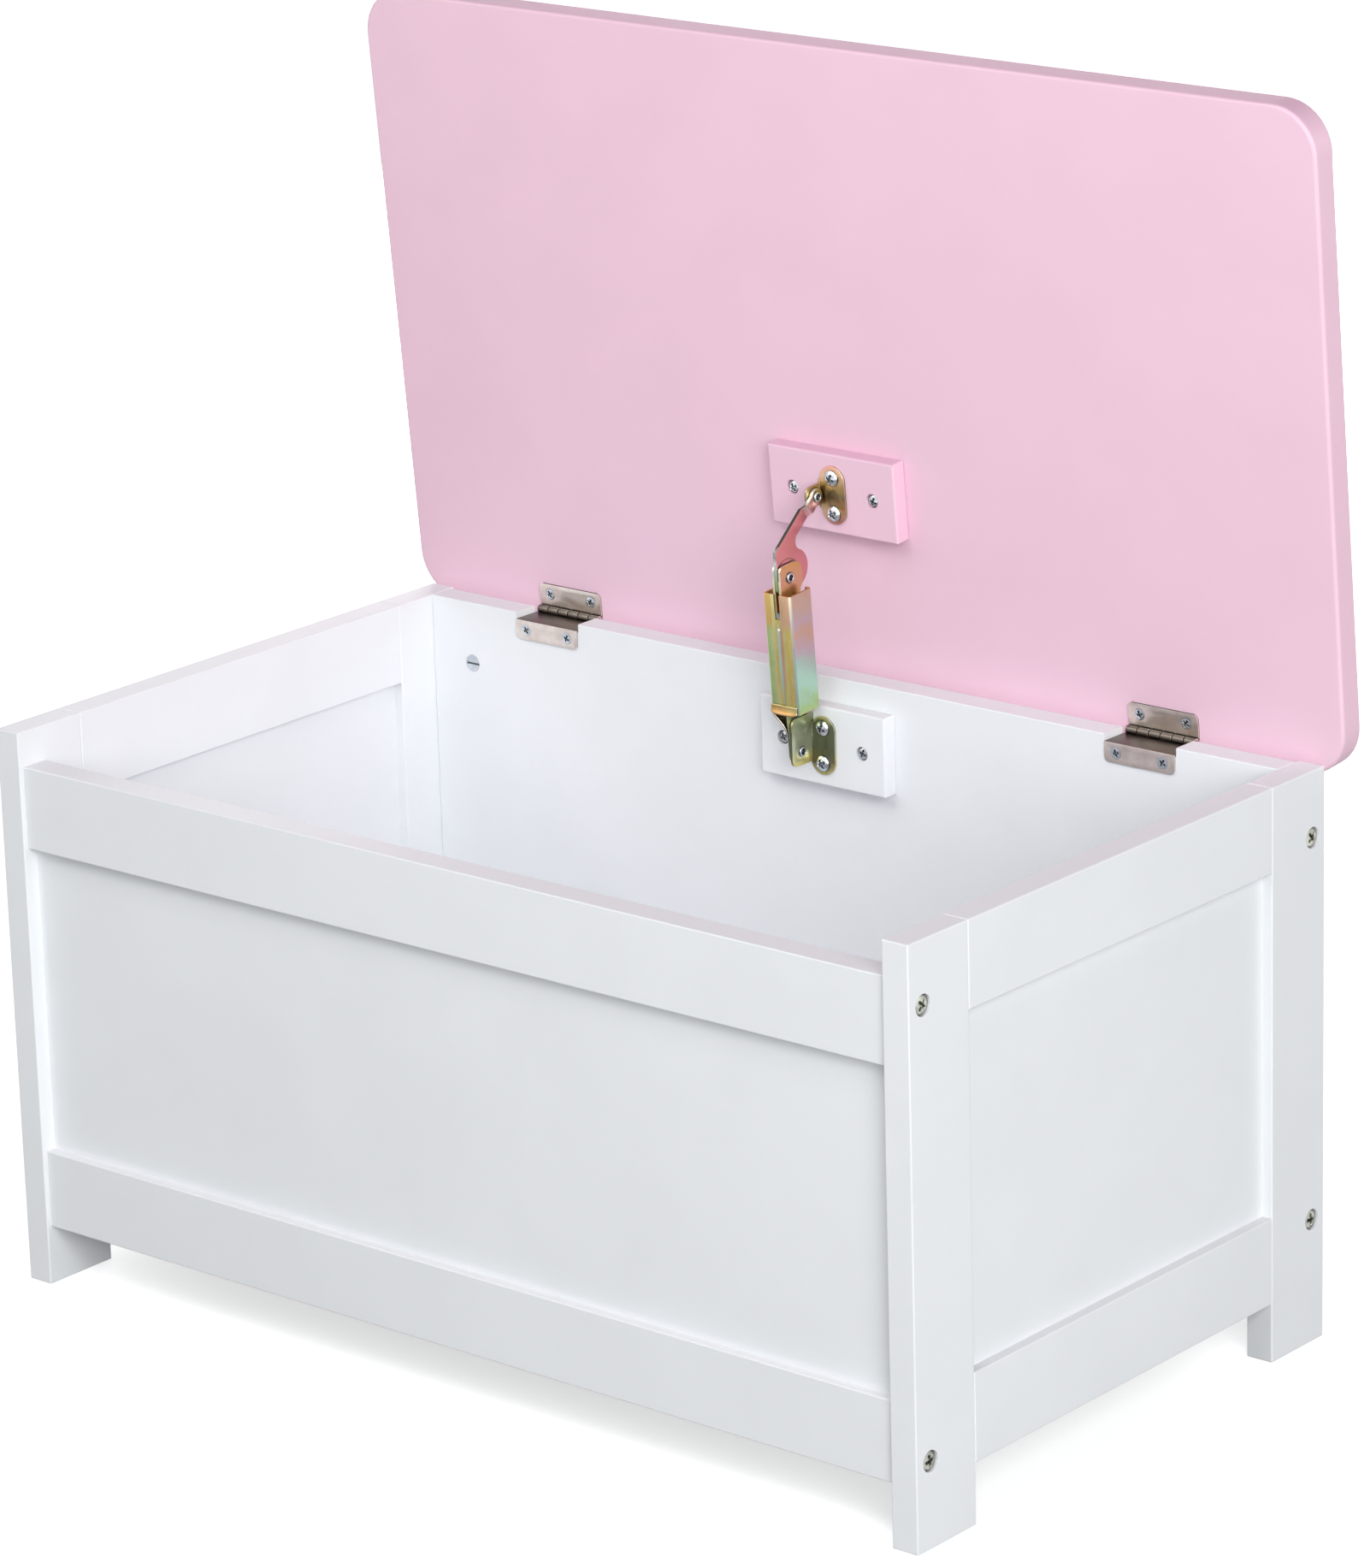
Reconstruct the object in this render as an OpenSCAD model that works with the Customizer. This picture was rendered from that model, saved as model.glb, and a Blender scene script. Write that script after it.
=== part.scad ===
// Toy chest with a hinged lid, drawn open on its lid stay. Millimetres, +Z up.
// X runs along the front and is zero in the middle of the chest.
// Y runs from the front to the back, and Z is zero at the soles of the feet.

/* [Chest] */
// Width over the two side frames
body_w = 616; // [520:4:900]
// Depth of the side frames, front to back
body_d = 348; // [320:2:480]
// Height of the side frames, feet included
body_h = 315; // [290:5:480]
// Thickness of the frame, rail and back boards
board_t = 16; // [14:1:20]
// Radius worn on the edges of the painted boards
board_edge_r = 0.8; // [0.4:0.1:1.4]

/* [Posts and rails] */
// Width of a corner post, seen from the side
post_w = 47; // [40:1:70]
// Height of the top rail of a side frame
side_top_rail_h = 46; // [42:1:70]
// Height of the bottom rail of a side frame
side_bottom_rail_h = 48; // [42:1:70]
// Height of the open gap under the bottom rails
foot_gap = 33; // [20:1:60]
// Height of the front top rail
front_top_rail_h = 46; // [40:1:70]
// Height of the front bottom rail
front_bottom_rail_h = 44; // [41:1:70]
// Finger gap between the front top rail and the closed lid
finger_gap = 19.5; // [12:0.5:40]
// Setback of the front rails and the back board from the posts' edges
rail_setback = 3; // [1:0.5:6]

/* [Panels] */
// Thickness of the side panels and the front panel
panel_t = 4; // [3:0.5:6]
// Depth that a panel enters the edge of a rail or post
edge_insert = 6; // [4:0.5:8]
// Spare depth behind a panel in an edge groove
edge_spare = 1; // [0.5:0.5:2]
// Depth that a panel or the floor enters the face of a board
face_insert = 4; // [3:0.5:4.5]
// Spare depth behind a panel in a face groove
face_spare = 0.5; // [0.5:0.1:0.8]
// Thickness of the floor
floor_t = 6; // [4:0.5:8]
// Height of the floor's underside over the lower edge of the rails
floor_rise = 23; // [21:0.5:26]

/* [Lid] */
// Thickness of the lid
lid_t = 16; // [12:1:22]
// Overhang of the lid at each side
lid_over_side = 10.5; // [4:0.5:25]
// Overhang of the lid at the front
lid_over_front = 2; // [1:0.5:25]
// Overhang of the lid at the back
lid_over_back = 6.5; // [4:0.5:12]
// Corner radius of the lid, seen from above
lid_corner_r = 26; // [10:1:45]
// Radius on the lid's edges
lid_edge_r = 2; // [1:0.5:4]
// Gap between the closed lid and the tops of the posts
lid_rest_gap = 0.2; // [0.1:0.1:1]
// Opening angle of the lid when its stay stops it
lid_open = 85; // [75:1:92]

/* [Hinges] */
// Distance from the chest's side to the middle of a hinge
hinge_inset = 103; // [80:1:150]
// Length of a hinge along its pin
hinge_w = 45; // [36:1:60]
// Number of knuckles of a hinge
hinge_knuckles = 6; // [4:2:8]
// Thickness of the hinge's sheet
hinge_t = 1.1; // [0.8:0.1:1.4]
// Radius of the hinge's barrel
barrel_r = 2.4; // [2.2:0.1:3]
// Radius of the hinge's pin
hinge_pin_r = 1.2; // [1:0.05:1.3]
// Distance of the hinge's pin behind the side frames
hinge_out = 0.5; // [0.5:0.1:2]
// Length of the box leaf down the inside of the back board
box_leaf_drop = 10; // [9:0.5:16]
// Reach of the lid leaf from the pin
lid_leaf_reach = 15; // [14:0.5:22]
// Corner radius of the leaves
leaf_corner_r = 3; // [2:0.5:4]
// Distance between the two screws of a leaf
leaf_screw_pitch = 30; // [24:1:34]
// Distance of a leaf's screws from its free edge
leaf_screw_edge = 5.5; // [5:0.5:7]

/* [Stay blocks] */
// Width of each stay block
block_w = 86; // [76:1:120]
// Height of each stay block
block_h = 45; // [40:1:60]
// Thickness of each stay block
block_t = 10; // [8:0.5:14]
// Radius on the blocks' edges
block_edge_r = 1.2; // [0.5:0.1:2]
// Distance between a block's two screws
block_screw_pitch = 54.5; // [44:0.5:62]
// Drop of the box block's middle below the back board's top edge
box_block_drop = 36.2; // [33:0.2:60]
// Distance of the lid block's middle from the hinge's pin
lid_block_reach = 105.2; // [100:0.2:112]

/* [Stay brackets] */
// Thickness of the brackets' steel
bracket_t = 1.2; // [1:0.1:1.6]
// Width of a bracket's base plate
base_w = 16.6; // [14:0.2:18]
// Height of a bracket's base plate
base_h = 33; // [31:0.5:40]
// Distance of the base plates' middle from the middle of their blocks
base_shift = 1.4; // [0.6:0.1:2]
// Distance between a bracket's two screws
base_screw_pitch = 20; // [18:0.5:24]
// Drop of the box pivot below the back board's top edge
box_pivot_drop = 38; // [36:0.2:42]
// Height of the box bracket's base plate above its pivot, middle to middle
box_base_rise = 2.2; // [1:0.2:3]
// Distance of the lid pivot from the hinge's pin, along the lid
lid_pivot_reach = 104.8; // [103:0.2:107]
// Distance of the box pivot from its base plate
box_pivot_out = 8.8; // [8.4:0.1:9.2]
// Distance of the lid pivot from its base plate
lid_pivot_out = 5.6; // [5.4:0.1:6.4]
// Height of the box bracket's ear above its pivot
box_ear_up = 19.6; // [14:0.2:20]
// Height of the box bracket's ear below its pivot
box_ear_down = 7.6; // [7:0.2:10]
// Reach of the box bracket's ear past its pivot
box_ear_past = 8.5; // [7.6:0.1:9]
// Half height of the lid bracket's ear
lid_ear_half = 6.2; // [5.5:0.1:8]
// Reach of the lid bracket's ear past its pivot
lid_ear_past = 6.4; // [5.5:0.1:8]
// Corner radius of the ears
ear_corner_r = 4; // [2:0.5:5]

/* [Stay housing] */
// Width and depth of the square housing
housing_w = 19; // [18:0.5:21]
// Length of the housing
housing_len = 67.8; // [60:0.2:74]
// Thickness of the housing's sheet
housing_t = 1.2; // [1:0.1:1.5]
// Radius of the housing's bends, inside
bend_r = 0.8; // [0.5:0.1:1.2]
// Distance from the box pivot to the housing's lower end
housing_start = 24.5; // [24:0.5:28]
// Lean of the housing at rest, towards the front
housing_lean = 4.6; // [4:0.1:6]
// Width of each lip along the housing's open side
housing_lip = 4; // [2:0.5:4.5]
// Width of the slot for the cam
slot_w = 3.7; // [3:0.1:5]
// Length of the slot for the cam
slot_len = 14; // [6:0.5:20]
// Radius of the pressed rib
rib_r = 1.1; // [0.6:0.1:1.6]
// Distance of the rib from the slot, and from the housing's lower end
rib_margin = 6; // [4:0.5:12]

/* [Stay arm] */
// Distance of the middle pivot above the housing's upper end
mid_pivot_over = 7.5; // [7:0.1:9]
// Thickness of the arm
arm_t = 2; // [1.5:0.1:2.5]
// Width of the arm's bar
arm_w = 7.4; // [6:0.1:8.4]
// Angle between the arm's bar and its front edge
arm_bend = 54; // [50:1:58]
// Distance of the arm's front edge from the middle pivot
arm_front = 8.2; // [7.6:0.1:8.8]
// Radius of the arm's toe, in the housing's slot
toe_r = 4; // [2:0.5:5]
// Radius of the arm's cam
cam_r = 10.9; // [10:0.1:11.4]
// Distance of the cam's middle behind the middle pivot
cam_back = 7; // [6:0.1:7.6]
// Height of the cam's middle above the middle pivot
cam_up = 2.5; // [2:0.1:3]
// Radius of the arm's eye
eye_r = 4.5; // [4:0.1:4.8]
// Radius of the hollow between the arm's bar and its cam
arm_fillet_r = 5; // [3:0.5:8]
// Sideways step of the arm near its eye
joggle = 2.1; // [2.1:0.1:2.6]
// Length of that step along the arm
joggle_len = 3; // [2:0.5:5]
// Distance of that step from the middle of the eye
joggle_from_eye = 8.5; // [7:0.5:10]
// Distance of that step's faces inside the faces of the bar
step_inset = 0.15; // [0.1:0.05:0.3]
// Distance of the stay's middle plane from the middle of the chest
stay_offset = 8; // [7:0.1:9]

/* [Pivots and fits] */
// Radius of the box rivet and the middle rivet
rivet_r = 2; // [1.6:0.1:2.4]
// Radius of the lid rivet
lid_rivet_r = 1.6; // [1.4:0.1:1.8]
// Radius of a rivet's head
rivet_head_r = 3.1; // [2.8:0.1:3.8]
// Height of a rivet's head
rivet_head_h = 1; // [0.6:0.1:1.2]
// Running clearance round a pin or rivet
running = 0.05; // [0.03:0.01:0.08]
// Clearance round the middle rivet, where the stay's linkage is opened
open_pivot_gap = 3.1; // [3:0.1:3.6]
// Gap between plates that slide past each other
side_gap = 0.3; // [0.2:0.05:0.4]
// Clearance round a screw, bolt, nut or dowel in its hole
fastener_gap = 0.05; // [0.03:0.01:0.1]

/* [Carcass fasteners] */
// Shank diameter of the carcass bolts
bolt_d = 6; // [5:0.5:6]
// Head diameter of the carcass bolts
bolt_head_d = 10; // [8.5:0.5:11]
// Head height of the carcass bolts
bolt_head_h = 2.6; // [2:0.1:3.2]
// Diameter of the counterbore for a bolt's head
counterbore_d = 11.5; // [11.2:0.1:13]
// Depth of the counterbore for a bolt's head
counterbore_depth = 4; // [3.4:0.1:5]
// Diameter of the barrel nuts
nut_d = 10; // [9:0.5:10]
// Length of the barrel nuts
nut_len = 12; // [11:0.5:13]
// Distance of a barrel nut from the side frame's inner face
nut_reach = 29.5; // [24:0.5:45]
// Length of a bolt past the axis of its nut
bolt_past_nut = 4; // [2:0.5:6]
// Distance of a front rail's bolt from the rail's outer edge
front_bolt_edge = 13.7; // [12:0.1:15]
// Distance of a back board's bolt from the board's edge
back_bolt_edge = 36; // [28:1:48]
// Diameter of the wooden dowels
dowel_d = 6; // [5:0.5:6]
// Length of a dowel in a rail or the back board
dowel_in_rail = 15; // [10:1:20]
// Length of a dowel in the face of a post
dowel_in_face = 9; // [6:0.5:10]
// Length of a frame dowel in the edge of a post
dowel_in_edge = 11; // [8:1:14]
// Distance of a front rail's dowel from the rail's outer edge
front_dowel_edge = 29.5; // [28:0.5:31]
// Distance of a back board's dowels from the board's edges
back_dowel_edge = 82; // [70:1:100]
// Distance of the outer frame dowel from its rail's edge
frame_dowel_edge = 10; // [8:0.5:11]
// Distance between the two dowels of a frame joint
frame_dowel_pitch = 20; // [16:0.5:21]

/* [Screws] */
// Shank diameter of the hinge screws
hinge_screw_d = 3; // [2.5:0.1:3.2]
// Head diameter of the hinge screws
hinge_screw_head_d = 6; // [5:0.1:6.4]
// Length of the hinge screws
hinge_screw_len = 11; // [8:0.5:12]
// Shank diameter of the bracket screws
bracket_screw_d = 3.5; // [3:0.1:4]
// Head diameter of the bracket screws
bracket_screw_head_d = 8.6; // [7:0.1:9]
// Head height of the bracket screws
bracket_screw_head_h = 2.5; // [1.8:0.1:3]
// Length of the bracket screws
bracket_screw_len = 8; // [6:0.5:9]
// Shank diameter of the block screws
block_screw_d = 3.5; // [3:0.1:4]
// Head diameter of the block screws
block_screw_head_d = 7; // [6:0.1:7.4]
// Head height of the block screws
block_screw_head_h = 2; // [1.4:0.1:2.4]
// Diameter of the recess for a block screw's head
block_recess_d = 8; // [7.6:0.1:9]
// Depth of the recess for a block screw's head
block_recess_depth = 2.8; // [2:0.1:3.6]
// Length of the block screws
block_screw_len = 18; // [12:1:19]

/* [Stay's inner pieces] */
// Thickness of the strap from the box pivot into the housing
strap_t = 1.5; // [1:0.1:1.8]
// Width of that strap
strap_w = 8; // [6:0.5:8.5]
// Radius of the strap's eye
strap_eye_r = 7.8; // [6:0.1:8]
// Gap between the strap's end and the clevis's base
strap_gap = 7; // [3:0.5:20]
// Distance of the strap's shoulder from the housing's lower end
shoulder_rise = 3; // [2:0.5:8]
// Thickness of the strap's shoulder, along the housing
shoulder_h = 3; // [2:0.5:5]
// Outer radius of the spring
spring_r = 6.4; // [6:0.1:7]
// Thickness of the spring's wire
spring_wire = 1; // [0.6:0.1:1.4]
// Thickness of the clevis
clevis_t = 1.5; // [1:0.1:2]
// Depth of the clevis's base below the housing's upper end
clevis_sink = 15; // [14.6:0.2:18]
// Height of the clevis's ears over the middle pivot
clevis_over = 7.8; // [6:0.2:10]
// Reach of the clevis's ears in front of the middle pivot
clevis_front = 8; // [7:0.1:8.2]
// Reach of the clevis's ears behind the middle pivot
clevis_back = 10.6; // [9:0.1:12]
// Radius of the small corners of the clevis's ears
clevis_corner_r = 3; // [2:0.5:4]
// Radius of the large corner of the clevis's ears
clevis_round_r = 6.5; // [4.5:0.5:8]
// Gap between the brake pad and the cam
pad_gap = 0.3; // [0.2:0.05:0.4]

/* [Hidden] */

// Colours
white_paint = "#eceef0";
pink_paint = "#eec3d6";
nickel = "#c9c5bd";
zinc = "#c3cad0";
yellow_zinc = "#c5b368";
rose_zinc = "#c98a78";
beech = "#d8b98a";
dark_steel = "#6d7074";
pad_grey = "#8d8f92";

// Smoothness of small and of large arcs
small_arc = 32;
large_arc = 96;
// Overshoot that lets a cut pass clean through a face
cut_over = 1;
// Taper of a countersunk head, as height over radius
csk_slope = 0.75;
// Size of the cross cut in a screw's head, as shares of the head's radius
cross_len = 0.95;
cross_w = 0.24;
cross_depth = 0.42;
// Length of a screw's point, in shank radii
point_len = 1.6;

// Places of the boards
inner_x = body_w / 2 - board_t;
side_panel_x = body_w / 2 - board_t / 2 - panel_t / 2;
rail_len = body_d - 2 * post_w;
front_rail_y = rail_setback;
front_mid_y = rail_setback + board_t / 2;
back_in_y = body_d - rail_setback - board_t;
back_mid_y = back_in_y + board_t / 2;
front_rail_top = body_h - finger_gap;
front_panel_low = foot_gap + front_bottom_rail_h;
front_panel_high = front_rail_top - front_top_rail_h;
side_panel_low = foot_gap + side_bottom_rail_h;
side_panel_high = body_h - side_top_rail_h;
edge_groove = edge_insert + edge_spare;
face_groove = face_insert + face_spare;
floor_z = foot_gap + floor_rise;

// Hinge: the pin lies just under the lid, so that the knuckles of the box leaf clear it
knuckle_clear = 0.2;
under_off = barrel_r + knuckle_clear;
axis_y = body_d + hinge_out;
axis_z = body_h + lid_rest_gap - under_off;
hinge_x = body_w / 2 - hinge_inset;
hinge_notch_gap = 0.5;
knuckle_len = hinge_w / hinge_knuckles;
knuckle_gap = 0.15;
leaf_fold_z = axis_z - barrel_r;
box_leaf_screw_z = leaf_fold_z - box_leaf_drop + leaf_screw_edge;
lid_leaf_screw_z = lid_leaf_reach - leaf_screw_edge;

// Lid, in its own frame: zero on the hinge's pin, closed
lid_w = body_w + 2 * lid_over_side;
lid_d = body_d + lid_over_front + lid_over_back;
lid_back = lid_over_back - hinge_out;

// Middle of the bounding box along Y, where the frame's origin lies
lid_back_reach = (lid_back - lid_edge_r) * cos(lid_open)
  + (under_off + lid_t - lid_edge_r) * sin(lid_open) + lid_edge_r;
mid_y = (axis_y + lid_back_reach) / 2;

// Stay: three layers of plates side by side, from the middle plane outwards
stay_x = -stay_offset;
arm_x = stay_x - arm_t / 2;
ear_x = stay_x + arm_t / 2 + side_gap;
far_ear_x = stay_x - arm_t / 2 - side_gap - clevis_t;
box_ear_x = ear_x - side_gap;
strap_x = box_ear_x - side_gap - strap_t;
lid_ear_x = arm_x + joggle - side_gap - bracket_t;
base_end = base_h / 2 - base_w / 2;

// Pivots at rest
box_pivot = [back_in_y - block_t - bracket_t - box_pivot_out, body_h - box_pivot_drop];
box_base_z = body_h - box_pivot_drop + box_base_rise;
housing_end = housing_start + housing_len;
mid_pivot_up = housing_end + mid_pivot_over;
lid_pivot_low = lid_pivot_out + bracket_t + block_t - under_off;
lid_pivot = [axis_y - lid_pivot_reach * cos(lid_open) - lid_pivot_low * sin(lid_open),
  axis_z + lid_pivot_reach * sin(lid_open) - lid_pivot_low * cos(lid_open)];
mid_pivot = box_pivot + mid_pivot_up * [-sin(housing_lean), cos(housing_lean)];
arm_vector = lid_pivot - mid_pivot;

// Housing, in its own frame: zero on the box pivot, Z along the housing
housing_front = -housing_w / 2;
housing_back = housing_w / 2;
housing_x = stay_x - housing_w / 2;
inner_w = housing_w - 2 * housing_t;
inner_corner_r = bend_r + 0.4;
shoulder_z = housing_start + shoulder_rise;
clevis_base_z = housing_end - clevis_sink;
clevis_low = housing_front + housing_t;
pad_z = clevis_base_z + clevis_t;
cam_sweep = norm([cam_back, cam_up]) + cam_r;
pad_top = mid_pivot_up - cam_sweep - pad_gap;
lip_flare = 2;
lip_drop = 3;

// Arm, in its own frame: zero on the middle pivot, Z along the housing at rest
arm_eye = [arm_vector[0] * cos(housing_lean) + arm_vector[1] * sin(housing_lean),
  arm_vector[1] * cos(housing_lean) - arm_vector[0] * sin(housing_lean)];
bar_along = [sin(arm_bend), cos(arm_bend)];
bar_across = [cos(arm_bend), -sin(arm_bend)];
bar_front = arm_eye - bar_across * arm_w / 2;
bar_back = arm_eye + bar_across * arm_w / 2;
corner_back_off = (bar_front[0] + arm_front) / bar_along[0];
arm_corner = bar_front - bar_along * corner_back_off;
cam_mid = [cam_back, cam_up];
cam_off = (cam_mid - bar_back) * bar_across;
fillet_run = sqrt(pow(cam_r + arm_fillet_r, 2) - pow(cam_off - arm_fillet_r, 2));
fillet_mid = cam_mid - bar_across * (cam_off - arm_fillet_r) + bar_along * fillet_run;
fillet_end = fillet_mid - bar_across * arm_fillet_r;
cam_low = cam_up - cam_r;

// Shared frames

module in_frame() translate([0, -mid_y, 0]) children();

// Y is zero at the back board's inner face and grows into the board
module on_back_board() in_frame() translate([0, back_in_y, 0]) children();

// The lid's own frame, turned open about the hinge's pin
module in_lid_frame()
  in_frame() translate([0, axis_y, axis_z]) rotate([-lid_open, 0, 0]) children();

// Y is zero at the lid's underside and grows into the lid, Z is the distance from the pin
module on_lid() in_lid_frame() translate([0, 0, under_off]) rotate([90, 0, 0]) children();

module in_housing_frame()
  in_frame() translate([0, box_pivot[0], box_pivot[1]]) rotate([housing_lean, 0, 0]) children();

module in_arm_frame()
  in_frame() translate([0, mid_pivot[0], mid_pivot[1]]) rotate([housing_lean, 0, 0]) children();

module both_sides() for (s = [-1, 1]) scale_x(s) children();

module scale_x(s) if (s < 0) mirror([1, 0, 0]) children(); else children();

// Plain shapes

// Rounded rectangle with a corner at zero
module rounded_rect(w, h, r) {
  translate([r, 0]) square([w - 2 * r, h]);
  translate([0, r]) square([w, h - 2 * r]);
  for (x = [r, w - r], y = [r, h - r]) translate([x, y]) circle(r = r, $fn = small_arc);
}

// Plate across X, whose outline is given in Y and Z
module x_plate(x, thick) translate([x, 0, 0]) rotate([90, 0, 90]) linear_extrude(thick) children();

// Rod along X
module x_rod(x, len, r, arc = small_arc)
  translate([x, 0, 0]) rotate([0, 90, 0]) cylinder(r = r, h = len, $fn = arc);

// Rod along Y
module y_rod(y, len, r, arc = small_arc)
  translate([0, y, 0]) rotate([-90, 0, 0]) cylinder(r = r, h = len, $fn = arc);

// Bar with a small radius on all its edges
module eased_bar(w, d, h, r) {
  intersection() {
    linear_extrude(h) rounded_rect(w, d, r);
    rotate([90, 0, 90]) linear_extrude(w) rounded_rect(d, h, r);
    translate([0, d, 0]) rotate([90, 0, 0]) linear_extrude(d) rounded_rect(w, h, r);
  }
}

// Outer part of the lid's section, for its round corners
module edge_section(w, t, r) {
  square([w - r, t]);
  translate([0, r]) square([w, t - 2 * r]);
  for (z = [r, t - r]) translate([w - r, z]) circle(r = r, $fn = small_arc);
}

// Board with round corners in plan and rounded edges all round
module eased_board(w, d, t, corner_r, edge_r) {
  translate([corner_r, 0, 0]) rotate([90, 0, 90])
    linear_extrude(w - 2 * corner_r) rounded_rect(d, t, edge_r);
  translate([0, d - corner_r, 0]) rotate([90, 0, 0])
    linear_extrude(d - 2 * corner_r) rounded_rect(w, t, edge_r);
  for (c = [[corner_r, corner_r, 180], [w - corner_r, corner_r, 270],
      [w - corner_r, d - corner_r, 0], [corner_r, d - corner_r, 90]])
    translate([c[0], c[1], 0]) rotate([0, 0, c[2]])
      rotate_extrude(angle = 90, $fn = large_arc) edge_section(corner_r, t, edge_r);
}

// Fasteners: the head looks along -Y, its seat is at zero and the shank runs along +Y

module cross_cut(head_r, top_y) {
  arm = cross_len * head_r;
  wide = cross_w * head_r;
  deep = cross_depth * head_r;
  for (turn = [0, 90]) rotate([0, turn, 0])
    translate([-arm / 2, top_y - cut_over, -wide / 2]) cube([arm, deep + cut_over, wide]);
}

module shank(r, len) {
  tip = point_len * r;
  y_rod(0, len - tip, r);
  translate([0, len - tip, 0]) rotate([-90, 0, 0]) cylinder(r1 = r, r2 = r / 4, h = tip, $fn = small_arc);
}

module domed_head(r, h) {
  ball_r = (r * r + h * h) / (2 * h);
  intersection() {
    y_rod(-h, h, r);
    translate([0, ball_r - h, 0]) sphere(r = ball_r, $fn = large_arc);
  }
}

module pan_screw(head_r, head_h, shank_r, len) {
  difference() {
    domed_head(head_r, head_h);
    cross_cut(head_r, -head_h);
  }
  shank(shank_r, len);
}

// The head's top is flush at zero
module flat_screw(head_r, shank_r, len) {
  head_h = (head_r - shank_r) * csk_slope;
  difference() {
    rotate([-90, 0, 0]) cylinder(r1 = head_r, r2 = shank_r, h = head_h, $fn = small_arc);
    cross_cut(head_r, 0);
  }
  translate([0, head_h, 0]) shank(shank_r, len - head_h);
}

// Hole for a flat screw, from a surface at zero
module flat_screw_hole(head_r, shank_r, len) {
  head_h = (head_r - shank_r) * csk_slope;
  wide = head_r + fastener_gap;
  translate([0, -cut_over, 0]) y_rod(0, cut_over, wide);
  rotate([-90, 0, 0]) cylinder(r1 = wide, r2 = shank_r + fastener_gap, h = head_h, $fn = small_arc);
  y_rod(0, len + cut_over, shank_r + fastener_gap);
}

// Places of the screws

module at_hinge_screws(z)
  for (s = [-1, 1], e = [-1, 1]) translate([s * hinge_x + e * leaf_screw_pitch / 2, 0, z]) children();

module at_block_screws(z)
  for (s = [-1, 1]) translate([s * block_screw_pitch / 2, -block_t, z]) children();

module at_bracket_screws(z)
  for (s = [-1, 1])
    translate([base_shift, -block_t - bracket_t, z + s * base_screw_pitch / 2]) children();

module hinge_screw_hole() flat_screw_hole(hinge_screw_head_d / 2, hinge_screw_d / 2, hinge_screw_len);

// Side frames, drawn for the right side

// Front or back post, with its lower front corner at zero depth
module post(front) {
  y0 = front ? 0 : body_d - post_w;
  groove_y = front ? post_w - edge_groove : body_d - post_w - cut_over;
  bolt_y = front ? front_mid_y : back_mid_y;
  bolt_z = front ? front_bolt_z : back_bolt_z;
  dowel_z = front ? front_dowel_z : back_dowel_z;
  difference() {
    translate([inner_x, y0, 0]) eased_bar(board_t, post_w, body_h, board_edge_r);
    translate([side_panel_x, groove_y, side_panel_low - edge_groove])
      cube([panel_t, edge_groove + cut_over, side_panel_high - side_panel_low + 2 * edge_groove]);
    for (z = bolt_z) translate([0, bolt_y, z]) side_bolt_hole();
    for (z = dowel_z) translate([0, bolt_y, z])
      x_rod(inner_x - cut_over, dowel_in_face + cut_over + fastener_gap, dowel_d / 2 + fastener_gap);
    frame_dowel_holes(front);
    floor_block();
    if (front) front_panel_block();
  }
}

module side_bolt_hole() {
  x_rod(inner_x - cut_over, board_t + 2 * cut_over, bolt_d / 2 + fastener_gap);
  x_rod(body_w / 2 - counterbore_depth, counterbore_depth + cut_over, counterbore_d / 2);
}

// Heights of the bolts and dowels in the front rails and the back board
front_bolt_z = [foot_gap + front_bolt_edge, front_rail_top - front_bolt_edge];
front_dowel_z = [foot_gap + front_dowel_edge, front_rail_top - front_dowel_edge];
back_bolt_z = [foot_gap + back_bolt_edge, body_h - back_bolt_edge];
back_dowel_z = [foot_gap + back_dowel_edge, body_h - back_dowel_edge];

// Heights of the two dowels in each joint of a side frame
frame_dowel_z = [
  for (n = [0, 1]) foot_gap + frame_dowel_edge + n * frame_dowel_pitch,
  for (n = [0, 1]) body_h - frame_dowel_edge - n * frame_dowel_pitch];

module frame_dowel(front, gap) {
  joint_y = front ? post_w : body_d - post_w;
  start = front ? joint_y - dowel_in_edge : joint_y - dowel_in_rail;
  len = dowel_in_edge + dowel_in_rail;
  y_rod(start - gap, len + 2 * gap, dowel_d / 2 + gap);
}

module frame_dowel_holes(front)
  for (z = frame_dowel_z) translate([body_w / 2 - board_t / 2, 0, z]) frame_dowel(front, fastener_gap);

module side_rail(low, h, groove_up) {
  groove_z = groove_up ? low + h - edge_groove : low - cut_over;
  difference() {
    translate([inner_x, post_w, low]) eased_bar(board_t, rail_len, h, board_edge_r);
    translate([side_panel_x, post_w - cut_over, groove_z])
      cube([panel_t, rail_len + 2 * cut_over, edge_groove + cut_over]);
    for (front = [true, false]) frame_dowel_holes(front);
    floor_block();
  }
}

module side_panel()
  translate([side_panel_x, post_w - edge_insert, side_panel_low - edge_insert])
    cube([panel_t, rail_len + 2 * edge_insert, side_panel_high - side_panel_low + 2 * edge_insert]);

// Spaces that the floor and the front panel take out of the boards round them
module floor_block() {
  x = inner_x + face_groove;
  y = front_rail_y + board_t - face_groove;
  translate([-x, y, floor_z]) cube([2 * x, back_in_y + face_groove - y, floor_t]);
}

module front_panel_block() {
  x = inner_x + face_groove;
  translate([-x, front_mid_y - panel_t / 2, front_panel_low - edge_groove])
    cube([2 * x, panel_t, front_panel_high - front_panel_low + 2 * edge_groove]);
}

module front_rail(low, h, dowel_z, bolt_z) {
  difference() {
    translate([-inner_x, front_rail_y, low]) eased_bar(2 * inner_x, board_t, h, board_edge_r);
    front_panel_block();
    floor_block();
    both_sides() {
      translate([0, front_mid_y, dowel_z]) rail_dowel(fastener_gap);
      translate([0, front_mid_y, bolt_z]) bolt_bore();
      translate([inner_x - nut_reach, front_rail_y + board_t, bolt_z]) nut_bore();
    }
  }
}

module rail_dowel(gap)
  x_rod(inner_x - dowel_in_rail - gap, dowel_in_rail + dowel_in_face + 2 * gap, dowel_d / 2 + gap);

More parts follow.
